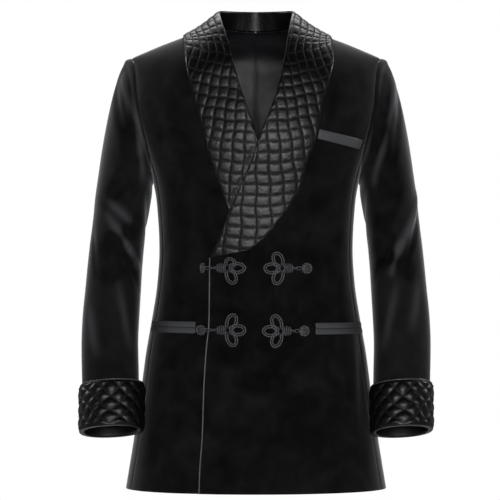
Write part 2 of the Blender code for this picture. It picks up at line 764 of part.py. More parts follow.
def build_sleeve(side):
    seam = math.degrees(SEAM / ARM_RADIUS)
    length = ARM[0].height - SLEEVE_HEM
    elbow = 1 + (ARM[0].height - ELBOW) / length
    gap = SEAM / length
    downs = sleeve_downs()
    above = [down for down in downs if down < elbow - gap] + [elbow - gap]
    below = [elbow + gap] + [down for down in downs if down > elbow + gap]
    runs = {"top_sleeve_upper": (10, above), "top_sleeve_lower": (10, below), "under_sleeve": (6, downs)}
    for name, (count, run) in runs.items():
        faces = []
        for down in run:
            hind = mix(HIND_ARM_SEAM[0], HIND_ARM_SEAM[1], fade(0.0, 2.0, down))
            if name == "under_sleeve":
                ends = (FRONT_ARM_SEAM + seam, 360 + hind - seam)
            else:
                ends = (hind + seam, FRONT_ARM_SEAM - seam)
            turns = [mix(ends[0], ends[1], i / count) for i in range(count + 1)]
            faces.append([sleeve_cloth(side, turn, down) for turn in turns])
        wall_from(f"{name}_{side}", faces, WALL, velvet)


# Turned-back cuffs, quilted in diamonds
CUFF_COLUMNS = 24
CUFF_ROWS = 6
LIP = ((2.0, 1.6), (8.6, 2.0))  # the turned-in bottom edge: how far in, how far below the fold
LIP_WALL = 1.6
LIP_CLEAR = 0.1


def cuff_ring(side, turn, z, out):
    """A point of a cuff, at a distance out of its plain face."""
    cuff = CUFFS[side]
    depth = CUFF_HALF_DEPTH - column(ARM, z, "half_depth")
    point = tip(side, arm_ring(turn, z, out, depth + out, cuff.outer, cuff.inner))
    return Vector((-point.x, point.y, point.z)) if side == "right" else point


def build_cuff(side):
    turns = [360 * i / CUFF_COLUMNS for i in range(CUFF_COLUMNS)]
    outer, inner = [], []
    for k in range(CUFF_ROWS + 1):
        z = mix(CUFF_TOP, CUFF_BOTTOM, k / CUFF_ROWS)
        edge = k in (0, CUFF_ROWS)
        rises = [0.0 if edge or (i + k) % 2 == 0 else CUFF_RISE for i in range(CUFF_COLUMNS)]
        outer.append([cuff_ring(side, turn, z, rise) for turn, rise in zip(turns, rises)])
        inner.append([cuff_ring(side, turn, z, -SATIN_WALL) for turn in turns])
    for inward, below in LIP:
        low = [cuff_ring(side, turn, CUFF_BOTTOM - below, -inward) for turn in turns]
        high_in = max(inward, SATIN_WALL)
        high_z = CUFF_BOTTOM - below + LIP_WALL
        outer.append(low)
        inner.append([cuff_ring(side, turn, high_z, -high_in - LIP_CLEAR) for turn in turns])
    add_wall(f"cuff_{side}", outer, inner, satin, round_rows=True)
    rise = PIPING + 2 * SEAM
    path = [cuff_ring(side, turn, CUFF_TOP + rise, -PIPING) for turn in turns]
    middle = sum(path, Vector()) / len(path)
    ways = [(point - middle).normalized() for point in path]
    lofted(f"cuff_piping_{side}", cord_rings(path, ways, PIPING, 4, True), satin, True)


# Quilted shawl collar
def polar(point_x, point_z):
    down = QUILT_CENTRE - point_z
    return math.hypot(point_x, down), math.atan2(point_x, down)


def lapel_bounds(side):
    """The lapel's two outlines, roll line and outer edge, as pairs (radius, ray)."""
    lines = {}
    for name in ("left", "right"):
        edges = [(getattr(edge, name), edge.height) for edge in FRONT_EDGES]
        lines[name] = [polar(x, z) for x, z in edges if z >= FRONT_EDGES[6].height]
    outline = LEFT_OUTER if side == "left" else RIGHT_OUTER
    return lines, [polar(place.across, place.height) for place in outline]


def lapel_rays(side, radius):
    """The rays of the roll line and of the outer edge at one arc."""
    lines, outer = lapel_bounds(side)
    roll = smooth(lines[side], radius)
    if side == "right":
        roll = min(roll, smooth(lines["left"], radius) + TUCK / radius)
    return roll, smooth(outer, radius)


def row_of_quilts(low, high):
    """Rays of one seam of the quilting, with the lapel's two outlines at its ends."""
    step = QUILT_WIDE / QUILT_RADIUS
    first = math.ceil(low / step + LEAST_QUILT)
    last = math.floor(high / step - LEAST_QUILT)
    return [low] + [m * step for m in range(first, last + 1)] + [high]


def lapel_point(side, radius, ray, share):
    """Outer and inner points of a lapel; share runs from its roll line to its outer edge."""
    x, z = radius * math.sin(ray), QUILT_CENTRE - radius * math.cos(ray)
    base = LAY + SHOULDER_EASE * fade(-150.0, -70.0, z)
    lift = base + ROLL_LIFT * (1 - share) ** 3
    thick = SATIN_WALL
    if side == "right":
        lift = base + (lift - base) * (1 - fade(400.0, 436.0, radius))
        hidden = fade(-9.0, -4.0, x - column(FRONT_EDGES, z, "left"))
        thick = mix(SATIN_WALL, UNDERLAP_WALL, hidden)
    inner = on_front(side, x, z, lift)[0]
    outer = on_front(side, x, z, lift + thick)[0]
    return outer, inner


def fall_point(side, along, share):
    """The underside of the collar's fall; share runs from its fold to its outer edge."""
    row = collar(side, along)
    x = mix(row.neck_x, row.edge_x, share)
    drop = mix(row.neck_drop, row.edge_drop, share)
    neck = shoulder_point(side, row.neck_x, row.neck_drop)[0]
    fold = Vector((row.fold_x, row.fold_y, row.fold_z))
    roll = ROLL_LIFT * (1 - share) ** 3 * (1 - fade(0.0, 0.3, along))
    lift = LAY + SHOULDER_EASE + roll
    base, way = shoulder_point(side, x, drop)
    rise = (1 - share) ** FALL_CURVE * fade(0.0, 0.12, along)
    return base + way * lift + (fold - neck) * rise


def shoulder_point(side, x, drop):
    """A point over the left shoulder's cloth by its drop below the shoulder line."""
    z = ridge(x) - abs(drop)
    angle = angle_at(x, z, back=drop > 0)
    point, way = cloth(side, angle if side == "left" else -angle, z)
    if side == "right":
        point.x, way.x = -point.x, -way.x
    return point, way


def fall_way(side, along, share):
    step = 0.01
    low, high = max(0.0, share - step), min(1.0, share + step)
    across = fall_point(side, along, high) - fall_point(side, along, low)
    before, after = max(0.0, along - step), min(1.0, along + step)
    run = fall_point(side, after, share) - fall_point(side, before, share)
    return across.cross(run).normalized()


def rows_before_gap(row, following):
    """The points of the following row, each drawn back towards the row before it by a gap."""
    pairs = zip(row, following)
    return [end + (start - end).normalized() * 2 * SEAM for start, end in pairs]


def build_lapel(side):
    sign = 1 if side == "left" else -1
    outline = LEFT_OUTER if side == "left" else RIGHT_OUTER
    last = polar(outline[-1].across, outline[-1].height)[0]
    radii = [QUILT_TOP + QUILT * k for k in range(int((last - QUILT_TOP) / QUILT) + 1)]
    radii += [mix(radii[-1], last, share) for share in FOOT_ROWS]
    rows, keys = [], []
    for radius in radii:
        roll, edge = lapel_rays(side, radius)
        rays = row_of_quilts(min(roll, edge), max(roll, edge))
        if side == "right":
            rays.reverse()
        shares = [(ray - roll) / (edge - roll) for ray in rays]
        rows.append([lapel_point(side, radius, ray, share) for ray, share in zip(rays, shares)])
        keys.append([ray * sign for ray in rays])
        if radius == QUILT_TOP:
            top_shares = shares
    for k in range(1, COLLAR_CELLS + 1):
        along = k / COLLAR_CELLS
        row = []
        for share in top_shares:
            under = fall_point(side, along, share)
            over = under + fall_way(side, along, share) * SATIN_WALL
            row.append([Vector((sign * max(p.x, SEAM), p.y, p.z)) for p in (over, under)])
        rows.insert(0, row)
        keys.insert(0, keys[0])
    outer = [[pair[0] for pair in row] for row in rows]
    inner = [[pair[1] for pair in row] for row in rows]
    # The cloth is one piece, but its solid is in two, with a gap at the neck point.
    cut = COLLAR_CELLS
    ends = [rows_before_gap(face[cut - 1], face[cut]) for face in (outer, inner)]
    fall_outer, fall_inner = outer[:cut] + [ends[0]], inner[:cut] + [ends[1]]
    add_quilted_wall(f"collar_fall_{side}", fall_outer, fall_inner, keys[: cut + 1], satin)
    add_quilted_wall(f"lapel_{side}", outer[cut:], inner[cut:], keys[cut:], satin)


STAND_STARTS = 0.1  # place along the collar
STAND_CLEAR = (0.6, 1.0)  # gaps to the neckline below and to the fold above
STAND_TO = 12.0  # the band faces a line this far behind the middle plane


def build_stand():
    """The band that carries the collar's fold round the neck, from one lapel to the other."""
    places = [mix(STAND_STARTS, 1.0, k / 9) for k in range(10)]
    stations = [("left", along) for along in places]
    stations += [("right", along) for along in places[-2::-1]]
    outer, inner = [], []
    for side, along in stations:
        sign = 1 if side == "left" else -1
        row = collar(side, along)
        base = shoulder_point(side, row.neck_x, row.neck_drop)[0]
        top = fall_point(side, along, 0.0)
        up = (top - base).normalized()
        start, end = base + up * STAND_CLEAR[0], top - up * STAND_CLEAR[1]
        centre = Vector((0.0, STAND_TO, base.z))
        inward = (centre - base) - up * (centre - base).dot(up)
        inward.normalize()
        face = [start.lerp(end, k / 3) for k in range(4)]
        pairs = [(point, point + inward * STAND_WALL) for point in face]
        outer.append([Vector((sign * p.x, p.y, p.z)) for p, q in pairs])
        inner.append([Vector((sign * q.x, q.y, q.z)) for p, q in pairs])
    add_wall("collar_stand", outer, inner, satin)


# Pockets and piping
def build_strip(name, side, places, height, material):
    """A flat strip on the cloth, down from the places (angle, top) by its height."""
    faces = []
    for down in (0.0, height):
        row = [cloth(side, angle, z - down, LAY + JET_WALL) for angle, z in places]
        faces.append(row)
    wall_from(name, faces, JET_WALL, material)


def build_pockets():
    for pocket in LOWER_POCKETS:
        sign = 1 if pocket.side == "left" else -1
        for name, top in (("upper", pocket.top), ("lower", pocket.top - JET - SLIT)):
            first = angle_at(pocket.from_x, top)
            places = [(mix(first, sign * pocket.to_turn, i / 9), top) for i in range(10)]
            build_strip(f"pocket_jet_{name}_{pocket.side}", pocket.side, places, JET, satin)
    places = []
    for i in range(8):
        x = mix(BREAST_WELT.from_x, BREAST_WELT.to_x, i / 7)
        z = mix(BREAST_WELT.from_z, BREAST_WELT.to_z, i / 7)
        places.append((angle_at(x, z), z))
    build_strip("breast_welt", "left", places, BREAST_WELT.height, satin)


def build_front_piping():
    path, ways = [], []
    for k in range(EDGE_ROWS + 1):
        z = mix(HEM, LAPEL_FOOT, k / EDGE_ROWS)
        x = column(FRONT_EDGES, z, "left") - PIPING - 3 * SEAM
        point, way = on_front("left", x, z, -WALL / 2)
        path.append(point)
        ways.append(way)
    lofted("front_edge_piping", cord_rings(path, ways, PIPING, 5), satin)


# Frog closures
def clover_path(upper_loop):
    """The three loops of a frog as one line about their middle, from one end to the other."""
    path = []
    loops = ((LOOP_SPREAD, upper_loop), (0.0, LOOP_LONG), (-LOOP_SPREAD, LOOP_LONG))
    for direction, reach in loops:
        turn = math.radians(direction)
        for k in range(LOOP_POINTS):
            t = (k + 0.5) / LOOP_POINTS
            along = LOOP_ROOT + (reach - LOOP_ROOT) * (1 - math.cos(2 * math.pi * t)) / 2
            bulge = math.sin(2 * math.pi * t) * math.sin(math.pi * t) ** 0.4
            aside = LOOP_ROOT * math.cos(math.pi * t) + LOOP_WIDE * bulge
            across = along * math.cos(turn) - aside * math.sin(turn)
            up = along * math.sin(turn) + aside * math.cos(turn)
            path.append(Vector((across, up)))
    return path


def build_frog(frog):
    middle_x = frog.joint + frog.loops_to * CLOVER_SHIFT
    path, ways = [], []
    for place in clover_path(frog.upper_loop):
        x, z = middle_x + frog.loops_to * place.x, frog.height + place.y
        point, way = on_front("left", x, z, LAY + CORD)
        path.append(point)
        ways.append(way)
    lofted(f"{frog.name}_loops", cord_rings(path, ways, CORD, CORD_SIDES), braid)
    reach = abs(frog.button_x - frog.joint) - frog.button_radius * frog.button_wide - 2 * SEAM
    rings = []
    for station in BARREL + (Station(reach, BARREL[-1].half_height, BARREL[-1].half_thick),):
        x = frog.joint - frog.loops_to * station.along
        lift = LAY + BARREL[2].half_thick
        centre, way = on_front("left", x, frog.height, lift)
        ring = []
        for i in range(8):
            turn = 2 * math.pi * (i + 0.5) / 8
            up = Vector((0, 0, station.half_height * math.cos(turn)))
            ring.append(centre + up + way * station.half_thick * math.sin(turn))
        rings.append(ring)
    lofted(f"{frog.name}_barrel", rings, braid)
    base, way = on_front(frog.button_on, frog.button_x, frog.height, LAY)
    across = Vector((1, 0, 0)) - way * way.x
    across.normalize()
    up = way.cross(across)
    across *= frog.button_wide
    rings = []
    for high, wide in BUTTON_PROFILE:
        centre = base + way * BUTTON_HIGH * high
        radius = frog.button_radius * wide
        turns = [2 * math.pi * i / ROUND for i in range(ROUND)]
        rings.append([centre + (across * math.cos(t) + up * math.sin(t)) * radius for t in turns])
    lofted(f"{frog.name}_button", rings, braid)


clear_scene()
velvet = make_material("velvet", (0.012, 0.012, 0.013), 0.9)
satin = make_material("satin", (0.03, 0.031, 0.033), 0.4)
braid = make_material("braid", (0.02, 0.02, 0.022), 0.7)

for one_side in ("left", "right"):
    build_front(one_side)
    build_back(one_side)
    build_side(one_side)
    build_sleeve(one_side)
    build_cuff(one_side)
    build_lapel(one_side)
build_stand()
build_pockets()
build_front_piping()
for one_frog in FROGS:
    build_frog(one_frog)
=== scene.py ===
"""Looks of a velvet smoking jacket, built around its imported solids.

Lengths are in millimetres until they become mesh points, which are in metres. +Z is up, the front
faces -Y and +X is the wearer's left. The surfaces repeat the named tables of the part's source.
"""

import math
from collections import namedtuple

import bmesh
import bpy
import numpy as np
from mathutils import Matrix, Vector


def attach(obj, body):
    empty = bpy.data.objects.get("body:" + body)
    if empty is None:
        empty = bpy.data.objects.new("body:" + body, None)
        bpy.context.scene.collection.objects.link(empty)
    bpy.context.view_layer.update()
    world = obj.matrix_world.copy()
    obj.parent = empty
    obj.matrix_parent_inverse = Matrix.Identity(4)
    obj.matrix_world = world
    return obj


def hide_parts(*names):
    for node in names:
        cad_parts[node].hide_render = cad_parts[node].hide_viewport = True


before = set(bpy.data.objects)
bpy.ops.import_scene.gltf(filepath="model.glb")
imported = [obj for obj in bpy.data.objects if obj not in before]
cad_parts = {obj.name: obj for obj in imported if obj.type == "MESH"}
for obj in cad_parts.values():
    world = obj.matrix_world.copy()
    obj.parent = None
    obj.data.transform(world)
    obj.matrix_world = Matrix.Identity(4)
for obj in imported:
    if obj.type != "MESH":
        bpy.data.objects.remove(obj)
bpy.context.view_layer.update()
bpy.ops.object.select_all(action="DESELECT")

# Velvet body: two fronts, two side panels and two backs
# Black cotton velvet over a dark satin lining, cut to the figure and sewn together along the
# shoulders, under the arms and down the middle of the back. The left front laps over the right.
MM = 0.001
WALL = 2.0
SIGNS = {"left": 1, "right": -1}
LAPS = {"left": 1.4, "right": -3.5}  # the left front lies over the body line, the right one under
LAP_STARTS = (60.0, 120.0)  # below the neck
LAP_FADES = {"left": (60.0, 150.0), "right": (100.0, 150.0)}  # beside the middle
BESIDE_MIDDLE = 0.0001
HEM = -800.0
LAPEL_FOOT = -402.0
RIDGE_Y = 8.0
FRONT_ROUND = 90.0
BACK_ROUND = 70.0
SEAM_ANGLE = 72.0
BODY_DEGREE = 3.0
ARM_TOP = -57.5
ARM_BOTTOM = -265.0
ARM_SPREAD = 24.0
ARM_ROUND = 0.5

Ring = namedtuple("Ring", "height half_width front back power")
RINGS = (
    Ring(30.0, 222.0, 70.0, 96.0, 2.4),
    Ring(-20.0, 220.0, 84.0, 103.0, 2.4),
    Ring(-62.0, 218.0, 98.0, 109.0, 2.4),
    Ring(-120.0, 219.0, 113.0, 114.0, 2.4),
    Ring(-160.0, 214.0, 120.0, 115.0, 2.4),
    Ring(-200.0, 202.0, 124.0, 112.0, 2.4),
    Ring(-250.0, 183.0, 122.0, 106.0, 2.4),
    Ring(-296.0, 173.0, 120.0, 98.0, 2.4),
    Ring(-340.0, 169.0, 118.8, 90.0, 2.4),
    Ring(-385.0, 167.0, 118.2, 86.0, 2.35),
    Ring(-441.0, 170.0, 119.4, 91.0, 2.3),
    Ring(-503.0, 179.0, 125.0, 106.0, 2.25),
    Ring(-566.0, 190.0, 131.0, 121.0, 2.2),
    Ring(-649.0, 201.0, 138.0, 132.0, 2.15),
    Ring(-711.0, 210.5, 142.0, 136.0, 2.1),
    Ring(-800.0, 225.0, 147.0, 141.0, 2.1),
)
Ridge = namedtuple("Ridge", "out height")
SHOULDER = (
    Ridge(0.0, 16.0),
    Ridge(40.0, 10.0),
    Ridge(78.0, 0.0),
    Ridge(97.0, -9.0),
    Ridge(125.0, -20.0),
    Ridge(156.0, -31.5),
    Ridge(183.0, -42.5),
    Ridge(218.0, -57.5),
    Ridge(260.0, -79.0),
)
Edge = namedtuple("Edge", "height left right")
FRONT_EDGES = (
    Edge(-800.0, -95.0, 95.0),
    Edge(-757.0, -93.5, 94.0),
    Edge(-703.0, -89.5, 92.0),
    Edge(-624.0, -87.0, 89.0),
    Edge(-558.0, -83.0, 86.0),
    Edge(-512.0, -78.5, 82.0),
    Edge(LAPEL_FOOT, -77.0, 77.0),
    Edge(-367.0, -61.0, 63.0),
    Edge(-320.0, -44.0, 43.0),
    Edge(-262.0, -19.0, 21.0),
    Edge(-231.0, -6.0, 11.0),
    Edge(-192.0, 7.0, -1.0),
    Edge(-165.0, 18.0, -9.0),
    Edge(-126.0, 33.0, -22.0),
    Edge(-60.0, 48.0, -41.0),
)
Collar = namedtuple("Collar", "along edge_x edge_drop neck_x neck_drop fold_x fold_y fold_z")
COLLAR = (
    Collar(0.00, 129.0, -13.4, 47.0, -68.9, 47.0, -93.0, -60.0),
    Collar(0.10, 130.0, -10.5, 53.5, -52.0, 50.5, -83.5, -41.0),
    Collar(0.20, 130.0, -7.5, 60.0, -36.0, 53.5, -68.0, -23.0),
    Collar(0.38, 129.0, -2.6, 72.0, -12.5, 59.5, -27.0, 8.0),
    Collar(0.50, 127.0, 0.0, 78.5, 0.0, 62.0, 6.0, 21.0),
    Collar(0.66, 116.0, 7.5, 69.0, 5.5, 55.0, 36.0, 25.0),
    Collar(0.82, 78.0, 25.0, 41.0, 14.5, 36.0, 59.0, 26.5),
    Collar(1.00, 0.0, 40.0, 0.0, 22.0, 0.0, 71.0, 27.0),
)
COLLAR_EDGES = {"left": 129.0, "right": 122.0}

# Soft folds, from one end to the other: a turn round the body or the arm, and a height. The
# first ones are those of the solids, and the rest are slighter creases of the cloth alone.
Fold = namedtuple("Fold", "side from_turn from_z to_turn to_z width depth")
BODY_FOLDS = (
    Fold("right", 45.8, -78.0, 37.2, -150.0, 17.0, 1.8),
    Fold("right", 51.3, -120.0, 46.0, -215.0, 16.0, 2.2),
    Fold("left", 50.3, -92.0, 44.3, -165.0, 17.0, 1.8),
    Fold("left", 70.0, -545.0, 60.0, -700.0, 16.0, 2.4),
    Fold("left", 43.0, -640.0, 48.0, -760.0, 20.0, 2.6),
    Fold("right", 48.7, -600.0, 48.6, -770.0, 20.0, 2.4),
    Fold("right", 46.5, -360.0, 69.5, -395.0, 14.0, 1.6),
    Fold("left", 43.3, -366.0, 63.5, -392.0, 14.0, 1.5),
    Fold("left", 112.0, -345.0, 150.0, -378.0, 16.0, 2.0),
    Fold("right", 108.0, -352.0, 146.0, -390.0, 16.0, 2.0),
    Fold("left", 128.0, -170.0, 122.0, -262.0, 17.0, 2.2),
    Fold("right", 130.0, -160.0, 121.0, -255.0, 17.0, 2.2),
    Fold("left", 140.0, -560.0, 136.0, -770.0, 20.0, 2.6),
    Fold("right", 138.0, -590.0, 141.0, -775.0, 20.0, 2.4),
)


def curve(start, leave, end, arrive, t):
    """A cubic from start to end, with the slopes that it leaves and arrives with."""
    return (
        start * (2 * t**3 - 3 * t**2 + 1)
        + leave * (t**3 - 2 * t**2 + t)
        + end * (3 * t**2 - 2 * t**3)
        + arrive * (t**3 - t**2)
    )


def smooth(pairs, at):
    """A curve through the pairs (place, value) that never swings past them."""
    places = [place for place, value in pairs]
    values = [value for place, value in pairs]
    if at <= places[0]:
        return values[0]
    if at >= places[-1]:
        return values[-1]
    spans = [b - a for a, b in zip(places, places[1:])]
    rises = [(b - a) / span for a, b, span in zip(values, values[1:], spans)]
    slopes = [rises[0]]
    for before, after in zip(rises, rises[1:]):
        same_way = before * after > 0
        slopes.append(2 * before * after / (before + after) if same_way else 0.0)
    slopes.append(rises[-1])
    k = max(i for i in range(len(spans)) if places[i] <= at)
    leave, arrive = slopes[k] * spans[k], slopes[k + 1] * spans[k]
    return curve(values[k], leave, values[k + 1], arrive, (at - places[k]) / spans[k])


STEPS = 1200
drawn = {}


def through(pairs, at):
    """The same curve, drawn once through its pairs and then read off quickly."""
    key = tuple(sorted(pairs))
    if key not in drawn:
        places = np.linspace(key[0][0], key[-1][0], STEPS + 1)
        drawn[key] = places, np.array([smooth(key, place) for place in places])
    places, values = drawn[key]
    share = (at - places[0]) / (places[-1] - places[0]) * STEPS
    if share <= 0:
        return float(values[0])
    if share >= STEPS:
        return float(values[-1])
    k = int(share)
    return float(values[k] + (values[k + 1] - values[k]) * (share - k))


pairs_of = {}


def column(table, at, name):
    """One named column of a table, read at a place in its first column."""
    key = (type(table[0]).__name__, name)
    if key not in pairs_of:
        pairs_of[key] = tuple((row[0], getattr(row, name)) for row in table)
    return through(pairs_of[key], at)


def fade(start, end, at):
    """0 before start, 1 after end, and a soft step between."""
    t = min(1.0, max(0.0, (at - start) / (end - start)))
    return t * t * (3 - 2 * t)


def mix(a, b, t):
    return a + (b - a) * t


def power(value, exponent):
    """A power that keeps the sign."""
    return math.copysign(abs(value) ** exponent, value)


def ridge(x):
    return column(SHOULDER, abs(x), "height")


def fold_depth(folds, side, turn, z, degree):
    """How deep the folds of one side lie at places given as numbers or arrays."""
    depth = 0.0 * turn
    for fold in folds:
        if fold.side != side:
            continue
        start = (fold.from_turn * degree, fold.from_z)
        line = (fold.to_turn * degree - start[0], fold.to_z - start[1])
        length = math.hypot(*line)
        place = (turn * degree - start[0], z - start[1])
        t = (place[0] * line[0] + place[1] * line[1]) / length**2
        off = np.abs(place[0] * line[1] - place[1] * line[0]) / length
        swell = np.sin(np.pi * np.clip((t + 0.2) / 1.4, 0.0, 1.0)) ** 0.8
        depth = depth + fold.depth * swell * np.exp(-((off / fold.width) ** 2))
    return depth


def body_point(angle, z):
    """The plain body; an angle runs from the middle of the front to the middle of the back."""
    turn = math.radians(angle)
    half_width = column(RINGS, z, "half_width")
    exponent = 2 / column(RINGS, z, "power")
    x = half_width * power(math.sin(turn), exponent)
    depth = column(RINGS, z, "front" if math.cos(turn) > 0 else "back")
    y = -depth * power(math.cos(turn), exponent)
    drop = max(0.0, ridge(x) - z)
    height = FRONT_ROUND if math.cos(turn) > 0 else BACK_ROUND
    rise = math.sqrt(1 - (1 - min(1.0, drop / height)) ** 2)
    return Vector((x, mix(RIDGE_Y, y, rise), z))


def body_normal(angle, z):
    here = body_point(angle, z)
    drop = ridge(here.x) - z
    if drop < 0.3:
        slope = ridge(here.x + 1) - ridge(here.x - 1)
        return Vector((-slope, 0, 2)).normalized()
    along = body_point(angle + 0.5, z) - body_point(angle - 0.5, z)
    step = min(0.5, drop / 2)
    up = body_point(angle, z + step) - body_point(angle, z - step)
    return along.cross(up).normalized()


def angle_at(x, z, back=False):
    """The angle at which the ring of a height passes a place across."""
    half_width = column(RINGS, z, "half_width")
    share = min(1.0, abs(x) / half_width) ** (column(RINGS, z, "power") / 2)
    angle = math.degrees(math.asin(share))
    return math.copysign(180 - angle if back else angle, x)


def lap_lift(side, x, z):
    """How far out of the body line a side lies, because the two fronts lap over each other."""
    below_neck = fade(*LAP_STARTS, -z)
    return LAPS[side] * below_neck * (1 - fade(*LAP_FADES[side], SIGNS[side] * x))


def cloth(side, angle, z, lift=0.0, folded=True):
    """A point at a lift over the outer face of one side's cloth, and the way out there."""
    out = body_normal(angle, z)
    point = body_point(angle, z)
    turn = SIGNS[side] * angle
    sunk = float(fold_depth(BODY_FOLDS, side, turn, z, BODY_DEGREE)) if folded else 0.0
    return point + out * (lap_lift(side, point.x, z) - sunk + lift), out


def on_front(side, x, z, lift=0.0):
    return cloth(side, angle_at(x, z), z, lift)


def armhole(turn):
    """Angle and height of a point of the armhole: 0 is its top, 90 its front, 180 its bottom."""
    middle = (ARM_TOP + ARM_BOTTOM) / 2
    up = math.cos(math.radians(turn))
    ahead = power(math.sin(math.radians(turn)), ARM_ROUND if up > 0 else 1.0)
    return 90 - ARM_SPREAD * ahead, middle + (ARM_TOP - middle) * up


def lower_armhole_turn(angle):
    """Where the lower half of the armhole passes an angle round the body."""
    return 180 - math.degrees(math.asin((90 - angle) / ARM_SPREAD))


def collar(side, along):
    """The collar's row at a place along it, drawn to its own side's roll line and edge."""
    row = Collar(*(column(COLLAR, along, name) for name in Collar._fields))
    roll = abs(column(FRONT_EDGES, COLLAR[0].fold_z, side))
    shift = (roll - COLLAR[0].fold_x) * (1 - fade(0.0, 0.4, along))
    return row._replace(
        along=along,
        edge_x=row.edge_x * mix(COLLAR_EDGES[side] / COLLAR[0].edge_x, 1.0, along),
        neck_x=row.neck_x + shift,
        fold_x=row.fold_x + shift,
    )


def front_inner_edge(side, z):
    """How far across the inner edge of a front lies: front edge, roll line, then neckline."""
    if z <= COLLAR[0].fold_z:
        return column(FRONT_EDGES, z, side)
    rows = [collar(side, k / 20) for k in range(11)]
    neck = [(ridge(row.neck_x) + row.neck_drop, row.neck_x) for row in rows]
    return through(neck, z) * SIGNS[side]


def back_inner_edge(side, z):
    """A back starts a hair beside the middle, so that its angle knows its side."""
    return BESIDE_MIDDLE * SIGNS[side]


def back_top(x):
    """The height of a back's top edge: its neckline, then the shoulder seam."""
    neck = [(row.neck_x, row.neck_drop) for row in COLLAR if row.along >= 0.5]
    drop = through(neck, abs(x)) if abs(x) < max(neck)[0] else 0.0
    return ridge(x) - drop


CLOSE_SHARES = (0.03, 0.09, 0.2, 0.45)  # of a row, where the rows beside an edge lie


def between(grid, places, axis):
    """A grid of values read smoothly at fractional places along one of its axes."""
    grid = np.moveaxis(np.asarray(grid, float), axis, 0)
    low = np.clip(np.floor(places).astype(int), 0, len(grid) - 2)
    t = (np.asarray(places) - low).reshape((-1,) + (1,) * (grid.ndim - 1))
    whole = np.concatenate([2 * grid[:1] - grid[1:2], grid, 2 * grid[-1:] - grid[-2:-1]])
    a, b, c, d = (whole[low + k] for k in (0, 1, 2, 3))
    made = b + 0.5 * t * (c - a + t * (2 * a - 5 * b + 4 * c - d + t * (3 * (b - c) + d - a)))
    return np.moveaxis(made, 0, axis)


def close_rows(count, parts):
    """Fractional places with so many parts between rows, and closer ones near both ends."""
    places = list(np.linspace(0, count - 1, (count - 1) * parts + 1))
    first = places[1]
    for share in CLOSE_SHARES:
        places += [first * share, count - 1 - first * share]
    return np.array(sorted(places))


def finer(grid, down, across):
    """A grid with so many parts, down and across, for each one of its own."""
    grid = np.array(grid)
    rows, columns = close_rows(len(grid), down), close_rows(len(grid[0]), across)
    return between(between(grid, rows, 0), columns, 1)


def ways_out(face, middle=(0.0, 0.0), closed=False):
    """The ways out of a fine grid of points, away from an upright line through the middle."""
    down = np.gradient(face, axis=0)
    if closed:
        wide = np.concatenate([face[:, -1:], face, face[:, :1]], axis=1)
        across = np.gradient(wide, axis=1)[:, 1:-1]
    else:
        across = np.gradient(face, axis=1)
    out = np.cross(across, down)
    out = out / np.maximum(np.linalg.norm(out, axis=2, keepdims=True), 1e-9)
    return out if ((face[..., :2] - middle) * out[..., :2]).sum() > 0 else -out


def edge_distances(face, closed=False):
    """How far each point lies from the first and last column, and from the first and last row."""
    steps = np.linalg.norm(np.diff(face, axis=1), axis=2)
    along = np.concatenate([np.zeros((len(face), 1)), np.cumsum(steps, axis=1)], axis=1)
    steps = np.linalg.norm(np.diff(face, axis=0), axis=2)
    down = np.concatenate([np.zeros((1, face.shape[1])), np.cumsum(steps, axis=0)], axis=0)
    far = np.full_like(along, 1e6)  # a closed ring has no first and last column
    sides = (far, far) if closed else (along, along[:, -1:] - along)
    return *sides, down, down[-1:] - down, along, down


def shell(name, face, out, wall, materials, closed=False, puff=None, round_by=0.8, marks=None):
    """A wall of cloth under a fine grid of points, with rounded rims and a lining."""
    first, last, top, bottom, along, down = edge_distances(face, closed)
    near = np.minimum(np.minimum(first, last), np.minimum(top, bottom))
    bite = np.clip(1 - near / round_by, 0, 1)
    turned = (round_by * (1 - np.sqrt(1 - bite**2)))[..., None]
    puffed = 0 if puff is None else puff[..., None]
    wall = np.asarray(wall, float)
    wall = wall[..., None] if wall.ndim else wall
    outer = face - out * turned + out * puffed
    inner = face - out * (wall - np.minimum(turned, wall / 2.2))
    rows, columns = face.shape[:2]
    points = np.concatenate([outer.reshape(-1, 3), inner.reshape(-1, 3)]) * MM
    numbers = np.arange(rows * columns).reshape(rows, columns)
    if closed:
        numbers = np.concatenate([numbers, numbers[:, :1]], axis=1)
    a, b = numbers[:-1, :-1].ravel(), numbers[:-1, 1:].ravel()
    c, d = numbers[1:, 1:].ravel(), numbers[1:, :-1].ravel()
    over = np.stack([a, b, c, d], axis=1)
    count = rows * columns
    faces = [over, over[:, ::-1] + count]
    rims = [numbers[0], numbers[-1][::-1]]
    if not closed:
        rims += [numbers[::-1, 0], numbers[:, -1]]
    for rim in rims:
        faces.append(np.stack([rim[1:], rim[:-1], rim[:-1] + count, rim[1:] + count], axis=1))
    lined = [0] * len(over) + [1] * len(over) + [0] * sum(len(rim) - 1 for rim in rims)
    flat = np.stack([along.ravel(), down.ravel()], axis=1)
    last_step = np.linalg.norm(face[:, 0] - face[:, -1], axis=1).mean()
    round_way = last_step + along.max() if closed else None
    quads = np.concatenate(faces)
    made = solid(name, points, quads, materials, lined, np.concatenate([flat, flat]), round_way)
    for mark, values in (marks or {}).items():
        drawn_on = made.data.attributes.new(mark, "FLOAT", "POINT")
        drawn_on.data.foreach_set("value", np.concatenate([values.ravel(), np.zeros(count)]))
    return made


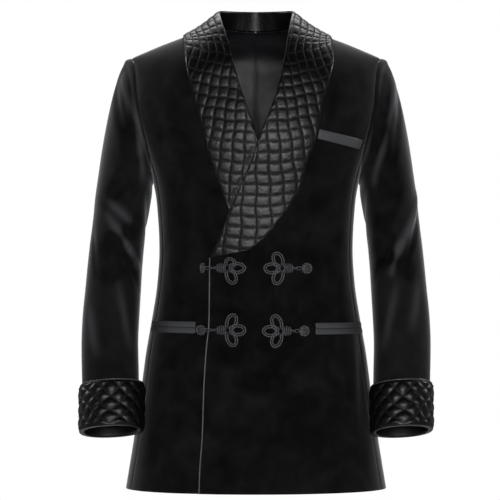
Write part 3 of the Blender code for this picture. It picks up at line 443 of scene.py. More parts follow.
def solid(name, points, faces, materials, slots=None, flat=None, round_way=None):
    """One smooth closed mesh in metres, riding on the jacket, with its flat lay as a UV map."""
    mesh = bpy.data.meshes.new(name)
    mesh.from_pydata(points.tolist(), [], [list(map(int, face)) for face in faces])
    for material in materials:
        mesh.materials.append(material)
    if slots is not None:
        mesh.polygons.foreach_set("material_index", slots)
    if flat is not None:
        lay = mesh.uv_layers.new(name="lay")
        corners = np.empty(len(mesh.loops), int)
        mesh.loops.foreach_get("vertex_index", corners)
        places = flat[corners] * MM
        if round_way:
            starts = np.empty(len(mesh.polygons), int)
            mesh.polygons.foreach_get("loop_start", starts)
            totals = np.empty(len(mesh.polygons), int)
            mesh.polygons.foreach_get("loop_total", totals)
            for start, total in zip(starts, totals):
                u = places[start : start + total, 0]
                if u.max() - u.min() > round_way * MM / 2:
                    places[start : start + total, 0] = np.where(
                        u < round_way * MM / 2, u + round_way * MM, u
                    )
        lay.data.foreach_set("uv", places.ravel())
    shape = bmesh.new()
    shape.from_mesh(mesh)
    bmesh.ops.recalc_face_normals(shape, faces=shape.faces)
    if shape.calc_volume(signed=True) < 0:
        bmesh.ops.reverse_faces(shape, faces=shape.faces)
    shape.to_mesh(mesh)
    shape.free()
    mesh.shade_smooth()
    made = bpy.data.objects.new(name, mesh)
    bpy.context.collection.objects.link(made)
    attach(made, "root")
    return made


def linear(hex_colour):
    """An sRGB hex colour as the linear colour that a shader takes."""
    made = []
    for k in (1, 3, 5):
        value = int(hex_colour[k : k + 2], 16) / 255
        made.append(value / 12.92 if value <= 0.04045 else ((value + 0.055) / 1.055) ** 2.4)
    return (*made, 1.0)


def add_node(tree, kind, settings=None, **sockets):
    """A node with its settings and its sockets' values or links."""
    made = tree.nodes.new(kind)
    for key, value in (settings or {}).items():
        setattr(made, key, value)
    for key, value in sockets.items():
        name = int(key[1:]) if key[1:].isdigit() else key.replace("_", " ")
        socket = made.inputs[name]
        if isinstance(value, bpy.types.NodeSocket):
            tree.links.new(value, socket)
        else:
            socket.default_value = value
    return made


def grainy(tree, shader, size, gloss, strength, depth):
    """Soft noise of a size in millimetres that sets the roughness and raises the surface."""
    place = add_node(tree, "ShaderNodeTexCoord").outputs["Object"]
    grain = add_node(tree, "ShaderNodeTexNoise", Vector=place, Scale=1 / (size * MM), Detail=3.0)
    rough = add_node(
        tree, "ShaderNodeMapRange", Value=grain.outputs["Fac"], To_Min=gloss[0], To_Max=gloss[1]
    )
    tree.links.new(rough.outputs["Result"], shader.inputs["Roughness"])
    raised = add_node(
        tree, "ShaderNodeBump", Strength=strength, Distance=depth * MM, Height=grain.outputs["Fac"]
    )
    tree.links.new(raised.outputs["Normal"], shader.inputs["Normal"])


def new_material(name, **values):
    """A material with its Principled shader, whose plain values are set on its own sockets."""
    made = bpy.data.materials.new(name)
    made.use_nodes = True
    shader = made.node_tree.nodes["Principled BSDF"]
    for key, value in values.items():
        shader.inputs[key.replace("_", " ")].default_value = value
    return made, made.node_tree, shader


# Cotton velvet: a short dense pile that swallows light face on and glows where it is seen edge
# on. The nap lies unevenly, so broad soft marks and a fine grain break the black up. On the
# sleeves a painted sheen lightens the base colour, most of all on raised creases.
velvet, tree, shader = new_material(
    "cotton_velvet",
    Specular_IOR_Level=0.06,
    Sheen_Weight=0.68,
    Sheen_Roughness=0.37,
    Sheen_Tint=linear("#d4d6da"),
)
where = add_node(tree, "ShaderNodeTexCoord")
nap = add_node(
    tree,
    "ShaderNodeTexNoise",
    Vector=where.outputs["Object"],
    Scale=1 / (38 * MM),
    Detail=4.0,
    Roughness=0.55,
    Distortion=0.6,
)
pile = add_node(
    tree,
    "ShaderNodeTexNoise",
    Vector=where.outputs["Object"],
    Scale=1 / (1.6 * MM),  # real pile tufts are 0.3 mm apart, too fine to show
    Detail=3.0,
)
nap_and_painted_sheen = add_node(
    tree,
    "ShaderNodeTexNoise",
    Vector=where.outputs["Object"],
    Scale=1 / (75 * MM),
    Detail=3.0,
    Distortion=1.2,
)
marks = add_node(
    tree,
    "ShaderNodeMath",
    {"operation": "MULTIPLY"},
    _0=nap.outputs["Fac"],
    _1=nap_and_painted_sheen.outputs["Fac"],
)
# Painted sheen: a point mark of the sleeves mixes a lighter grey into the base colour on raised
# creases, and a little all over the sleeves.
painted_sheen_mark = add_node(tree, "ShaderNodeAttribute", {"attribute_name": "nap_and_painted_sheen"})
strength = add_node(
    tree, "ShaderNodeMapRange", Value=marks.outputs[0], From_Min=0.1, From_Max=0.4
)
shade = add_node(
    tree,
    "ShaderNodeMix",
    {"data_type": "RGBA"},
    Factor=strength.outputs["Result"],
    _6=linear("#060606"),
    _7=linear("#1b1b1c"),
)
raised = add_node(
    tree,
    "ShaderNodeMix",
    {"data_type": "RGBA"},
    Factor=painted_sheen_mark.outputs["Fac"],
    _6=shade.outputs[2],
    _7=linear("#47474a"),
)
tree.links.new(raised.outputs[2], shader.inputs["Base Color"])
dull = add_node(
    tree,
    "ShaderNodeMapRange",
    Value=nap.outputs["Fac"],
    To_Min=0.78,
    To_Max=0.98,
)
tree.links.new(dull.outputs["Result"], shader.inputs["Roughness"])
grain = add_node(
    tree,
    "ShaderNodeBump",
    Strength=0.35,
    Distance=0.4 * MM,
    Height=pile.outputs["Fac"],
)
tree.links.new(grain.outputs["Normal"], shader.inputs["Normal"])

# Lining: thin viscose satin, dark with a cold cast, smooth and slightly glossy.
lining, tree, shader = new_material(
    "viscose_lining", Base_Color=linear("#0d0d13"), Specular_IOR_Level=0.4
)
grainy(tree, shader, 24, gloss=(0.38, 0.55), strength=0.5, depth=1.2)

SEAM_DIP = 0.9  # the pile sinks towards a sewn edge
SEAM_SOFT = 3.6
FRONT_COLUMNS = 11
BACK_COLUMNS = 8
EDGE_ROWS = 11
LAPEL_ROWS = 5
HIGH_ROWS = 11
SIDE_ROWS = 16
CORNER = armhole(lower_armhole_turn(SEAM_ANGLE))[1]
PARTS = 4  # finer rows between those of the solids
CROWD = 1.2  # above 1, the columns of a panel crowd towards its outer edge


def lower_heights():
    """Heights of a panel's rows below the place where the side seam meets the armhole."""
    edge = [mix(HEM, LAPEL_FOOT, k / EDGE_ROWS) for k in range(EDGE_ROWS)]
    return edge + [mix(LAPEL_FOOT, CORNER, k / LAPEL_ROWS) for k in range(LAPEL_ROWS)]


def upper_rows(inner_top):
    """Heights of the inner ends and armhole places of the rows above the side seam."""
    first = lower_armhole_turn(SEAM_ANGLE)
    rows = []
    for k in range(HIGH_ROWS + 1):
        angle, z = armhole(mix(first, 0.0, k / HIGH_ROWS))
        share = (z - CORNER) / (ARM_TOP - CORNER)
        rows.append((mix(CORNER, inner_top, share), angle, z, share))
    return rows


def panel_row(inner, outer, columns, bend, top, back):
    """Angles and heights of one row of a panel; bend draws it to the panel's top edge."""
    places = []
    for i in range(columns + 1):
        u = 1 - (1 - i / columns) ** CROWD
        x = mix(inner[0], outer[0], u)
        straight = mix(inner[1], outer[1], u)
        bow = top(x) - mix(top(inner[0]), top(outer[0]), u)
        z = top(x) if bend == 1 else min(straight + bow * bend, top(x))
        places.append((angle_at(x, z, back), z))
    return places


def panel_rows(side, inner_edge, columns, top, back):
    """The rows of a front or a back, from the hem up to its neckline and shoulder seam."""
    lower = [(z, SEAM_ANGLE, z, 0.0) for z in lower_heights()]
    rows = []
    for inner_z, angle, z, share in lower + upper_rows(top(0.0) if back else 0.0):
        outer = (SIGNS[side] * body_point(180 - angle if back else angle, z).x, z)
        inner = (inner_edge(side, inner_z), inner_z)
        rows.append(panel_row(inner, outer, columns, share**2, top, back))
    return rows


def sewn_down(sunk, face, seams):
    """How deep cloth is sunk once its pile also sinks at its sewn edges, given by number."""
    edges = edge_distances(face)
    for number in seams:
        sunk = sunk + SEAM_DIP * np.exp(-((edges[number] / SEAM_SOFT) ** 2))
    return sunk[..., None]


def velvet_panel(name, side, rows, seams):
    """A lined velvet panel from rows of (angle, height); seams are its sewn edges."""
    face = [[list(cloth(side, *place, folded=False)[0]) for place in row] for row in rows]
    face, lay = finer(face, PARTS, PARTS), finer(rows, PARTS, PARTS)
    out = ways_out(face)
    turn = lay[..., 0] * SIGNS[side]
    sunk = fold_depth(BODY_FOLDS + BODY_CREASES, side, turn, lay[..., 1], BODY_DEGREE)
    face = face - out * sewn_down(sunk, face, seams)
    made = shell(name, face, out, WALL, (velvet, lining))
    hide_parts(name.replace("velvet_", ""))
    return made


BODY_CREASES = (
    Fold("left", 20.0, -600.0, 24.0, -790.0, 22.0, 1.2),
    Fold("right", 62.0, -430.0, 52.0, -520.0, 11.0, 0.9),
    Fold("left", 58.0, -420.0, 50.0, -470.0, 11.0, 0.9),
)
for side, sign in SIGNS.items():
    rows = panel_rows(side, front_inner_edge, FRONT_COLUMNS, ridge, False)
    front = velvet_panel(f"velvet_front_{side}", side, rows, (1, 3))
    rows = panel_rows(side, back_inner_edge, BACK_COLUMNS, back_top, True)
    back = velvet_panel(f"velvet_back_{side}", side, rows, (0, 1, 3))
    angles = [mix(SEAM_ANGLE, 180 - SEAM_ANGLE, i / 4) for i in range(5)]
    tops = [armhole(lower_armhole_turn(angle))[1] for angle in angles]
    rows = [
        [(sign * angle, mix(HEM, top, k / SIDE_ROWS)) for angle, top in zip(angles, tops)]
        for k in range(SIDE_ROWS + 1)
    ]
    beside = velvet_panel(f"velvet_side_{side}", side, rows, (0, 1, 3))

# Sleeves: a top and an under sleeve on each side
# Two shaped pieces of the same velvet, sewn together down the front and the back of the arm and
# eased into the armhole, with a bend at the elbow. The light catches their loose creases, and a
# painted highlight in the velvet's colour lightens the raised ones.
Arm = namedtuple("Arm", "height outer inner middle_y half_depth lean")
ARM = (
    Arm(-296.0, 278.0, 180.5, 5.0, 70.0, 0.0),
    Arm(-337.0, 282.0, 187.0, 4.0, 67.0, 2.0),
    Arm(-379.0, 287.0, 193.0, -1.0, 63.5, 8.0),
    Arm(-420.0, 291.0, 196.5, -8.5, 60.0, 13.0),
    Arm(-462.0, 294.5, 198.5, -19.0, 56.0, 15.5),
    Arm(-503.0, 298.0, 200.5, -30.5, 53.0, 16.0),
    Arm(-545.0, 299.5, 202.0, -42.5, 50.0, 16.0),
    Arm(-586.0, 299.0, 201.0, -54.0, 47.0, 16.0),
    Arm(-618.0, 297.5, 199.5, -63.0, 45.5, 16.0),
    Arm(-698.0, 295.0, 199.5, -86.0, 44.0, 16.0),
)
ARM_POWER = 2.2
FRONT_ARM_SEAM = 115.0
HIND_ARM_SEAM = (-80.0, 10.0)
CUFF_TOP = -622.5
CUFF_BOTTOM = -696.0
SLEEVE_HEM = CUFF_BOTTOM + 0.5
CUFF_TIP = {"left": 0.05, "right": -0.05}
TIP_FADES = (460.0, 600.0)
ARM_MIDDLE = 250.0
HEAD_ROWS = 8
HEAD_LEAVES = 0.38
HEAD_ARRIVES = 0.9
HEAD_OUT = (0.1, 1.0)
HEAD_DOWN = (1.0, 0.35)
HEAD_AHEAD = 0.35
HEAD_FULL = 0.7
ARM_WAY = (0.14, -0.02, -1.0)
ARM_HEIGHTS = (-325.0, -352.0, -378.0, -402.0, -426.0, -458.0, -500.0, -545.0, -595.0, -640.0)
ARM_FOLDS = (
    Fold("right", 48.0, -112.0, 92.0, -205.0, 13.0, 3.4),
    Fold("right", 112.0, -232.0, 60.0, -305.0, 13.0, 2.8),
    Fold("right", 132.0, -345.0, 66.0, -392.0, 13.0, 3.2),
    Fold("right", 140.0, -400.0, 78.0, -436.0, 12.0, 2.6),
    Fold("left", 40.0, -105.0, 84.0, -196.0, 13.0, 3.4),
    Fold("left", 72.0, -128.0, 104.0, -246.0, 12.0, 2.8),
    Fold("left", 70.0, -262.0, 122.0, -362.0, 13.0, 3.0),
    Fold("left", 134.0, -384.0, 70.0, -424.0, 13.0, 3.0),
    Fold("right", 205.0, -352.0, 262.0, -396.0, 14.0, 2.6),
    Fold("left", 208.0, -348.0, 258.0, -404.0, 14.0, 2.6),
)
ARM_CREASES = (
    Fold("right", 32.0, -98.0, 90.0, -169.0, 6.5, -4.2),
    Fold("right", 90.0, -169.0, 126.0, -262.0, 6.0, -3.8),
    Fold("right", 16.0, -112.0, 72.0, -190.0, 7.5, 3.2),
    Fold("right", 78.0, -196.0, 112.0, -282.0, 7.5, 2.6),
    Fold("right", 60.0, -300.0, 118.0, -344.0, 7.0, -2.8),
    Fold("right", 76.0, -338.0, 147.0, -418.0, 7.0, -4.6),
    Fold("right", 88.0, -372.0, 150.0, -446.0, 7.0, 3.6),
    Fold("right", 30.0, -360.0, 60.0, -430.0, 9.0, 1.8),
    Fold("right", 52.0, -490.0, 66.0, -560.0, 9.0, -2.2),
    Fold("right", 104.0, -452.0, 134.0, -548.0, 8.0, -2.0),
    Fold("left", 21.0, -104.0, 66.0, -167.0, 6.5, -4.4),
    Fold("left", 66.0, -167.0, 114.0, -264.0, 6.5, -4.2),
    Fold("left", 4.0, -116.0, 50.0, -184.0, 7.5, 3.0),
    Fold("left", 50.0, -186.0, 100.0, -286.0, 7.5, 2.6),
    Fold("left", 20.0, -300.0, 84.0, -379.0, 7.0, -4.4),
    Fold("left", 84.0, -379.0, 106.0, -428.0, 7.0, -4.0),
    Fold("left", 30.0, -340.0, 78.0, -404.0, 7.0, 3.4),
    Fold("left", 100.0, -372.0, 140.0, -430.0, 7.0, 3.0),
    Fold("left", 56.0, -448.0, 76.0, -520.0, 9.0, -2.0),
    Fold("left", 100.0, -456.0, 130.0, -548.0, 8.0, -2.0),
    Fold("right", 150.0, -300.0, 196.0, -372.0, 9.0, 3.0),
    Fold("left", 152.0, -296.0, 198.0, -366.0, 9.0, 3.0),
    Fold("right", 236.0, -150.0, 258.0, -300.0, 9.0, 2.6),
    Fold("left", 232.0, -156.0, 262.0, -292.0, 9.0, 2.6),
)
ARM_PAINTED_SHEEN = 0.1  # the sleeves get a little painted sheen all over, in the base colour
PAINTED_SHEEN_FULL = 4.0  # a crease that stands up this far gets the full painted highlight in the base colour
ROPE = 1.8  # the sleeve head rolls up beside its seam
ROPE_PLACE = 9.0
ROPE_SOFT = 5.0
HEAD_SMOOTH = 0.12  # the folds fade in over this share of the sleeve head
HEAD_CROWD = 1.3  # above 1, its rows crowd towards the armhole
ARM_PARTS = 6


def arm_ring(turn, z, width=0.0, depth=0.0, outer=None, inner=None):
    """A point round the left arm at a height; 0 is its outer side and 90 its front."""
    outer = column(ARM, z, "outer") if outer is None else outer
    inner = column(ARM, z, "inner") if inner is None else inner
    lean = math.radians(column(ARM, z, "lean"))
    across = power(math.cos(math.radians(turn)), 2 / ARM_POWER)
    ahead = power(math.sin(math.radians(turn)), 2 / ARM_POWER)
    reach = (column(ARM, z, "half_depth") + depth) * ahead
    x = (outer + inner) / 2 + ((outer - inner) / 2 + width) * across
    y = column(ARM, z, "middle_y") - reach * math.cos(lean)
    return Vector((x, y, z + reach * math.sin(lean)))


def tip(side, point):
    """A point of the left arm with the slope that the arm's end has on one side."""
    slope = CUFF_TIP[side] * fade(TIP_FADES[0], TIP_FADES[1], -point.z)
    return Vector((point.x, point.y, point.z + slope * (point.x - ARM_MIDDLE)))


def sleeve_line(side, turn, down):
    """A point of the left sleeve: down runs from the armhole (0) to the arm (1) and the hem (2)."""
    first = ARM[0].height
    if down >= 1:
        return tip(side, arm_ring(turn, mix(first, SLEEVE_HEM, down - 1)))
    angle, z = armhole(turn)
    start = cloth(side, SIGNS[side] * angle, z)[0]
    start.x *= SIGNS[side]
    end = arm_ring(turn, first)
    rise = (1 + math.cos(math.radians(turn))) / 2
    out = mix(*HEAD_OUT, rise**HEAD_FULL)
    ahead = -HEAD_AHEAD * math.sin(math.radians(turn))
    leave = Vector((out, ahead, -mix(*HEAD_DOWN, rise)))
    span = (end - start).length
    arrive = Vector(ARM_WAY) * span * HEAD_ARRIVES
    return curve(start, leave * span * HEAD_LEAVES, end, arrive, down)


HEADS = [(k / HEAD_ROWS) ** HEAD_CROWD for k in range(HEAD_ROWS + 1)]
ARMS = [1 + (z - ARM[0].height) / (SLEEVE_HEM - ARM[0].height) for z in ARM_HEIGHTS]
for side in SIGNS:
    for kind, columns in (("top_sleeve", 12), ("under_sleeve", 10)):
        face, lay = [], []
        for down in HEADS + ARMS + [2.0]:
            hind = mix(*HIND_ARM_SEAM, fade(0.0, 2.0, down))
            ends = (hind, FRONT_ARM_SEAM) if kind == "top_sleeve" else (FRONT_ARM_SEAM, 360 + hind)
            turns = [mix(ends[0], ends[1], i / columns) for i in range(columns + 1)]
            face.append([list(sleeve_line(side, turn, down)) for turn in turns])
            lay.append([(turn, down) for turn in turns])
        face, lay = finer(face, ARM_PARTS, PARTS), finer(lay, ARM_PARTS, PARTS)
        out = ways_out(face, ((ARM[0].outer + ARM[0].inner) / 2, ARM[0].middle_y))
        sunk = fold_depth(ARM_FOLDS + ARM_CREASES, side, lay[..., 0] % 360, face[..., 2], 1.0)
        sunk = sunk * np.clip(lay[..., 1] / HEAD_SMOOTH, 0, 1)
        rope = ROPE * np.exp(-(((edge_distances(face)[2] - ROPE_PLACE) / ROPE_SOFT) ** 2))
        # Painted sheen: the ridges of raised creases and of the sleeve head's roll, and the whole
        # sleeve a little, are marked lighter for the velvet's base colour.
        nap_and_painted_sheen = np.clip(ARM_PAINTED_SHEEN + (rope - sunk) / PAINTED_SHEEN_FULL, 0, 1)
        face = face - out * sewn_down(sunk - rope, face, (0, 1))
        face, out = face * (SIGNS[side], 1, 1), out * (SIGNS[side], 1, 1)
        name, marks = f"velvet_{kind}_{side}", {"nap_and_painted_sheen": nap_and_painted_sheen}
        made = shell(name, face, out, WALL, (velvet, lining), marks=marks)
        ends = ("upper_", "lower_") if kind == "top_sleeve" else ("",)
        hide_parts(*[f"{kind}_{end}{side}" for end in ends])

# Shawl collar: two quilted satin halves, joined in the middle of the back
# Black duchesse satin over wadding, stitched in squares that hang in sagging rows. Each half
# folds over along the roll line and lies on the front, the shoulder and the back of the neck.
Outline = namedtuple("Outline", "across height")
LEFT_OUTER = (
    Outline(129.0, -35.0),
    Outline(132.0, -65.0),
    Outline(126.0, -91.0),
    Outline(112.0, -142.0),
    Outline(101.0, -202.0),
    Outline(86.0, -239.0),
    Outline(76.0, -278.0),
    Outline(60.0, -309.0),
    Outline(37.0, -341.0),
    Outline(18.0, -365.0),
    Outline(-7.0, -386.0),
    Outline(-35.0, -394.5),
    Outline(-73.0, -400.5),
)
RIGHT_OUTER = (
    Outline(-122.0, -36.0),
    Outline(-121.0, -52.0),
    Outline(-114.0, -101.0),
    Outline(-103.0, -142.0),
    Outline(-93.0, -179.0),
    Outline(-81.0, -227.0),
    Outline(-66.0, -271.0),
    Outline(-54.0, -302.0),
    Outline(-46.0, -320.0),
    Outline(-38.0, -336.0),
)
SATIN_WALL = 2.2
UNDERLAP_WALL = 1.6
LAY = 0.5
QUILT_CENTRE = 250.0
QUILT = 18.0
QUILT_WIDE = 19.0
QUILT_RADIUS = 442.0
QUILT_TOP = 313.0
TUCK = 15.0
COLLAR_CELLS = 10
FOOT_ROWS = (0.35, 0.65, 0.85, 1.0)
FALL_CURVE = 1.6
ROLL_LIFT = 2.0
SHOULDER_EASE = 0.9
EASE_FADES = (-150.0, -70.0)  # the heights between which a lapel eases over the shoulder
ROLL_FADES = (400.0, 436.0)  # the arcs between which the right lapel flattens
HIDDEN_FADES = (-9.0, -4.0)  # it thins out as it comes to the edge of the left front
PILLOW = 1.4  # how far a quilted square stands up
PILLOW_TOP = 0.8
RIM_FLAT = 3.0  # the quilting lies flat this near to an edge
SHARES = 12
LAPEL_PARTS = (12, 8)
BAND_PARTS = 6

# Satin: a smooth face of long floats, so it shines softly along its folds. Fine weft ribs and
# small puckers by the stitching break up the light. Along the stitching it is rougher, and its
# base colour is painted near black as painted shade in the grooves.
satin, tree, shader = new_material(
    "duchesse_satin",
    Specular_IOR_Level=0.34,
)
where = add_node(tree, "ShaderNodeTexCoord")
cloudy = add_node(
    tree, "ShaderNodeTexNoise", Vector=where.outputs["Object"], Scale=1 / (12 * MM), Detail=3.0
)
gloss = add_node(
    tree, "ShaderNodeMapRange", Value=cloudy.outputs["Fac"], To_Min=0.28, To_Max=0.43
)
stitch_crush_and_shade = add_node(tree, "ShaderNodeAttribute", {"attribute_name": "sewn"})
crushed = add_node(
    tree,
    "ShaderNodeMix",
    _0=stitch_crush_and_shade.outputs["Fac"],
    _2=gloss.outputs["Result"],
    _3=0.85,
)
tree.links.new(crushed.outputs[0], shader.inputs["Roughness"])
# Painted shade: the base colour goes near black along the lines of stitching.
painted_groove_shade = add_node(
    tree,
    "ShaderNodeMix",
    {"data_type": "RGBA"},
    Factor=stitch_crush_and_shade.outputs["Fac"],
    _6=linear("#070808"),
    _7=linear("#010101"),
)
tree.links.new(painted_groove_shade.outputs[2], shader.inputs["Base Color"])
pucker = add_node(
    tree,
    "ShaderNodeTexNoise",
    Vector=where.outputs["Object"],
    Scale=1 / (5.5 * MM),
    Detail=2.0,
    Distortion=0.8,
)
ribs = add_node(
    tree,
    "ShaderNodeTexWave",
    {"bands_direction": "Y"},
    Vector=where.outputs["UV"],
    Scale=1 / (20 * 1.2 * MM),  # the weft lies 0.15 mm apart, too fine to show
    Distortion=0.6,
    Detail=1.0,
)
soft = add_node(
    tree, "ShaderNodeBump", Strength=0.6, Distance=0.7 * MM, Height=pucker.outputs["Fac"]
)
fine = add_node(
    tree,
    "ShaderNodeBump",
    Strength=0.12,
    Distance=0.1 * MM,
    Height=ribs.outputs["Fac"],
    Normal=soft.outputs["Normal"],
)
tree.links.new(fine.outputs["Normal"], shader.inputs["Normal"])


def polar(point_x, point_z):
    down = QUILT_CENTRE - point_z
    return math.hypot(point_x, down), math.atan2(point_x, down)


OUTERS = {"left": LEFT_OUTER, "right": RIGHT_OUTER}
OUTER_RAYS = {side: [polar(*place) for place in OUTERS[side]] for side in OUTERS}
ROLLS = {
    side: [
        polar(getattr(edge, side), edge.height)
        for edge in FRONT_EDGES
        if edge.height >= LAPEL_FOOT
    ]
    for side in OUTERS
}


def lapel_rays(side, radius):
    """The rays of the roll line and of the outer edge at one arc."""
    roll = through(ROLLS[side], radius)
    if side == "right":
        roll = min(roll, through(ROLLS["left"], radius) + TUCK / radius)
    return roll, through(OUTER_RAYS[side], radius)


def lapel_under(side, radius, share):
    """The underside of a lapel, its thickness and its place in the quilting."""
    roll, edge = lapel_rays(side, radius)
    ray = mix(roll, edge, share)
    x, z = radius * math.sin(ray), QUILT_CENTRE - radius * math.cos(ray)
    base = LAY + SHOULDER_EASE * fade(*EASE_FADES, z)
    lift = base + ROLL_LIFT * (1 - share) ** 3
    hidden = 0.0
    if side == "right":
        lift = base + (lift - base) * (1 - fade(*ROLL_FADES, radius))
        hidden = fade(*HIDDEN_FADES, x - column(FRONT_EDGES, z, "left"))
    return on_front(side, x, z, lift)[0], mix(SATIN_WALL, UNDERLAP_WALL, hidden), ray


def shoulder_point(side, x, drop):
    """A point over the left shoulder's cloth by its drop below the shoulder line."""
    z = ridge(x) - abs(drop)
    point, way = cloth(side, SIGNS[side] * angle_at(x, z, back=drop > 0), z)
    point.x *= SIGNS[side]
    way.x *= SIGNS[side]
    return point, way


def fall_point(side, along, share):
    """The underside of the collar's fall; share runs from its fold to its outer edge."""
    row = collar(side, along)
    x = mix(row.neck_x, row.edge_x, share)
    drop = mix(row.neck_drop, row.edge_drop, share)
    neck = shoulder_point(side, row.neck_x, row.neck_drop)[0]
    fold = Vector((row.fold_x, row.fold_y, row.fold_z))
    roll = ROLL_LIFT * (1 - share) ** 3 * (1 - fade(0.0, 0.3, along))
    lift = LAY + SHOULDER_EASE + roll
    base, way = shoulder_point(side, x, drop)
    rise = (1 - share) ** FALL_CURVE * fade(0.0, 0.12, along)
    return base + way * lift + (fold - neck) * rise


WANDER = 0.05  # of a square, how far the stitching strays
UNEVEN = 0.3  # how much less the wadding fills some squares
LAPEL_FULL = 3.4
CUFF_FULL = 2.2
STITCH_WIDE = 0.05


def stitched(place):
    """1 on a line of stitching, fading out beside it; places count lines."""
    off = np.abs(place - np.round(place))
    return np.exp(-((off / STITCH_WIDE) ** 2))


def hump(place, fullness):
    """0 on a line of stitching and 1 halfway to the next; a fuller one is flatter on top."""
    return 1 - np.abs(2 * (place - np.floor(place)) - 1) ** fullness


def uneven(a, b):
    """A number from 0 to 1 for each square of the quilting, as the wadding fills it."""
    return np.abs(np.sin(12.9 * np.floor(a) + 78.2 * np.floor(b)))


for side, sign in SIGNS.items():
    last = polar(*OUTERS[side][-1])[0]
    radii = [QUILT_TOP + QUILT * k for k in range(int((last - QUILT_TOP) / QUILT) + 1)]
    radii += [mix(radii[-1], last, share) for share in FOOT_ROWS]
    shares = [i / SHARES for i in range(SHARES + 1)]
    top_roll, top_edge = lapel_rays(side, QUILT_TOP)
    under, facts = [], []
    for k in range(COLLAR_CELLS, 0, -1):
        row = [fall_point(side, k / COLLAR_CELLS, share) for share in shares]
        under.append([(sign * max(point.x, 0.0), point.y, point.z) for point in row])
        facts.append([(SATIN_WALL, mix(top_roll, top_edge, share), -k) for share in shares])
    for radius in radii:
        row = [lapel_under(side, radius, share) for share in shares]
        under.append([tuple(point) for point, thick, ray in row])
        facts.append([(thick, ray, (radius - QUILT_TOP) / QUILT) for point, thick, ray in row])
    under, facts = finer(under, *LAPEL_PARTS), finer(facts, *LAPEL_PARTS)
    out = ways_out(under)
    thick = np.clip(facts[..., 0], UNDERLAP_WALL, SATIN_WALL)
    rays = facts[..., 1] * QUILT_RADIUS / QUILT_WIDE
    arcs = facts[..., 2] + WANDER * np.sin(2.3 * rays + 0.7 * facts[..., 2])
    rays = rays + WANDER * np.sin(1.9 * facts[..., 2] + 0.6 * rays)
    squares = hump(rays, LAPEL_FULL) * hump(arcs, LAPEL_FULL)
    squares = squares * (1 - UNEVEN * uneven(rays, arcs))
    lines = np.maximum(stitched(rays), stitched(arcs))
    edges = edge_distances(under)
    rim = np.minimum(np.minimum(edges[0], edges[1]), edges[3])
    free = 1 - np.exp(-((rim / RIM_FLAT) ** 2))
    shown = (thick - UNDERLAP_WALL) / (SATIN_WALL - UNDERLAP_WALL)
    made = shell(
        f"satin_lapel_{side}",
        under + out * thick[..., None],
        out,
        thick,
        (satin, satin),
        puff=PILLOW * squares**PILLOW_TOP * free * shown,
        round_by=1.0,
        # this point mark paints shade along the stitching, and roughens the satin there
        marks={"sewn": lines * free},
    )
    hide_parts(f"lapel_{side}", f"collar_fall_{side}")

# Collar stand
# A narrow band of the same satin, sewn into the neckline, that holds the fold of the collar up.
STAND_WALL = 1.6
STAND_STARTS = 0.1
STAND_CLEAR = (0.6, 1.0)
STAND_MIDDLE = (0.0, 12.0)
places = [mix(STAND_STARTS, 1.0, k / 9) for k in range(10)]
stations = [("left", along) for along in places]
stations += [("right", along) for along in places[-2::-1]]
face = []
for side, along in stations:
    row = collar(side, along)
    base = shoulder_point(side, row.neck_x, row.neck_drop)[0]
    top = fall_point(side, along, 0.0)
    up = (top - base).normalized()
    start, end = base + up * STAND_CLEAR[0], top - up * STAND_CLEAR[1]
    points = [start.lerp(end, k / 3) for k in range(4)]
    face.append([(SIGNS[side] * point.x, point.y, point.z) for point in points])
face = finer(face, BAND_PARTS, PARTS)
out = ways_out(face, STAND_MIDDLE)
stand = shell("satin_collar_stand", face, out, STAND_WALL, (satin, satin), round_by=0.6)
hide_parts("collar_stand")

# Turned-back cuffs, each with a piping
# The same quilted satin, stitched in diamonds and turned back over the end of the sleeve. A thin
# satin piping finishes the top edge, and the turned edge below shows the dark lining inside.
Cuff = namedtuple("Cuff", "outer inner")
CUFFS = {"left": Cuff(301.0, 195.0), "right": Cuff(301.0, 191.0)}
CUFF_HALF_DEPTH = 51.0
CUFF_COLUMNS = 24
CUFF_ROWS = 6
CUFF_RISE = 3.0
PIPING = 1.1
PIPING_CLEAR = 0.2
CUFF_PARTS = (10, 8)
CUFF_RIM = 0.4  # the first row below the top edge, where the rim turns
# How far the lower edge turns in, and how far it lies below the cuff's bottom
TURNED_IN = ((0.4, 0.9), (1.1, 1.4), (2.2, 1.7), (4.4, 1.9), (6.6, 2.0), (8.6, 2.0))
CUFF_FLAT = 0.35  # of a row, how near to an edge the quilting lies flat

# Bias satin: the same satin cut on the slant for bands and pipings, where it lies stretched. Its
# base colour is painted lighter than the collar's, a painted highlight for the light that these
# thin cords and swelling bands catch.
satin_painted_lighter, tree, shader = new_material(
    "satin_painted_lighter", Base_Color=linear("#4b4c4f"), Specular_IOR_Level=0.65
)
grainy(tree, shader, 7, gloss=(0.26, 0.44), strength=0.6, depth=0.8)


def cuff_ring(side, turn, z, out):
    """A point of a cuff, at a distance out of its plain face."""
    cuff = CUFFS[side]
    depth = CUFF_HALF_DEPTH - column(ARM, z, "half_depth")
    point = tip(side, arm_ring(turn, z, out, depth + out, cuff.outer, cuff.inner))
    return (-point.x, point.y, point.z) if side == "right" else tuple(point)


STRAND_DEPTH = 0.24  # of a cord's radius, half of how deep the grooves between its strands are
CORD_SIDES = 10


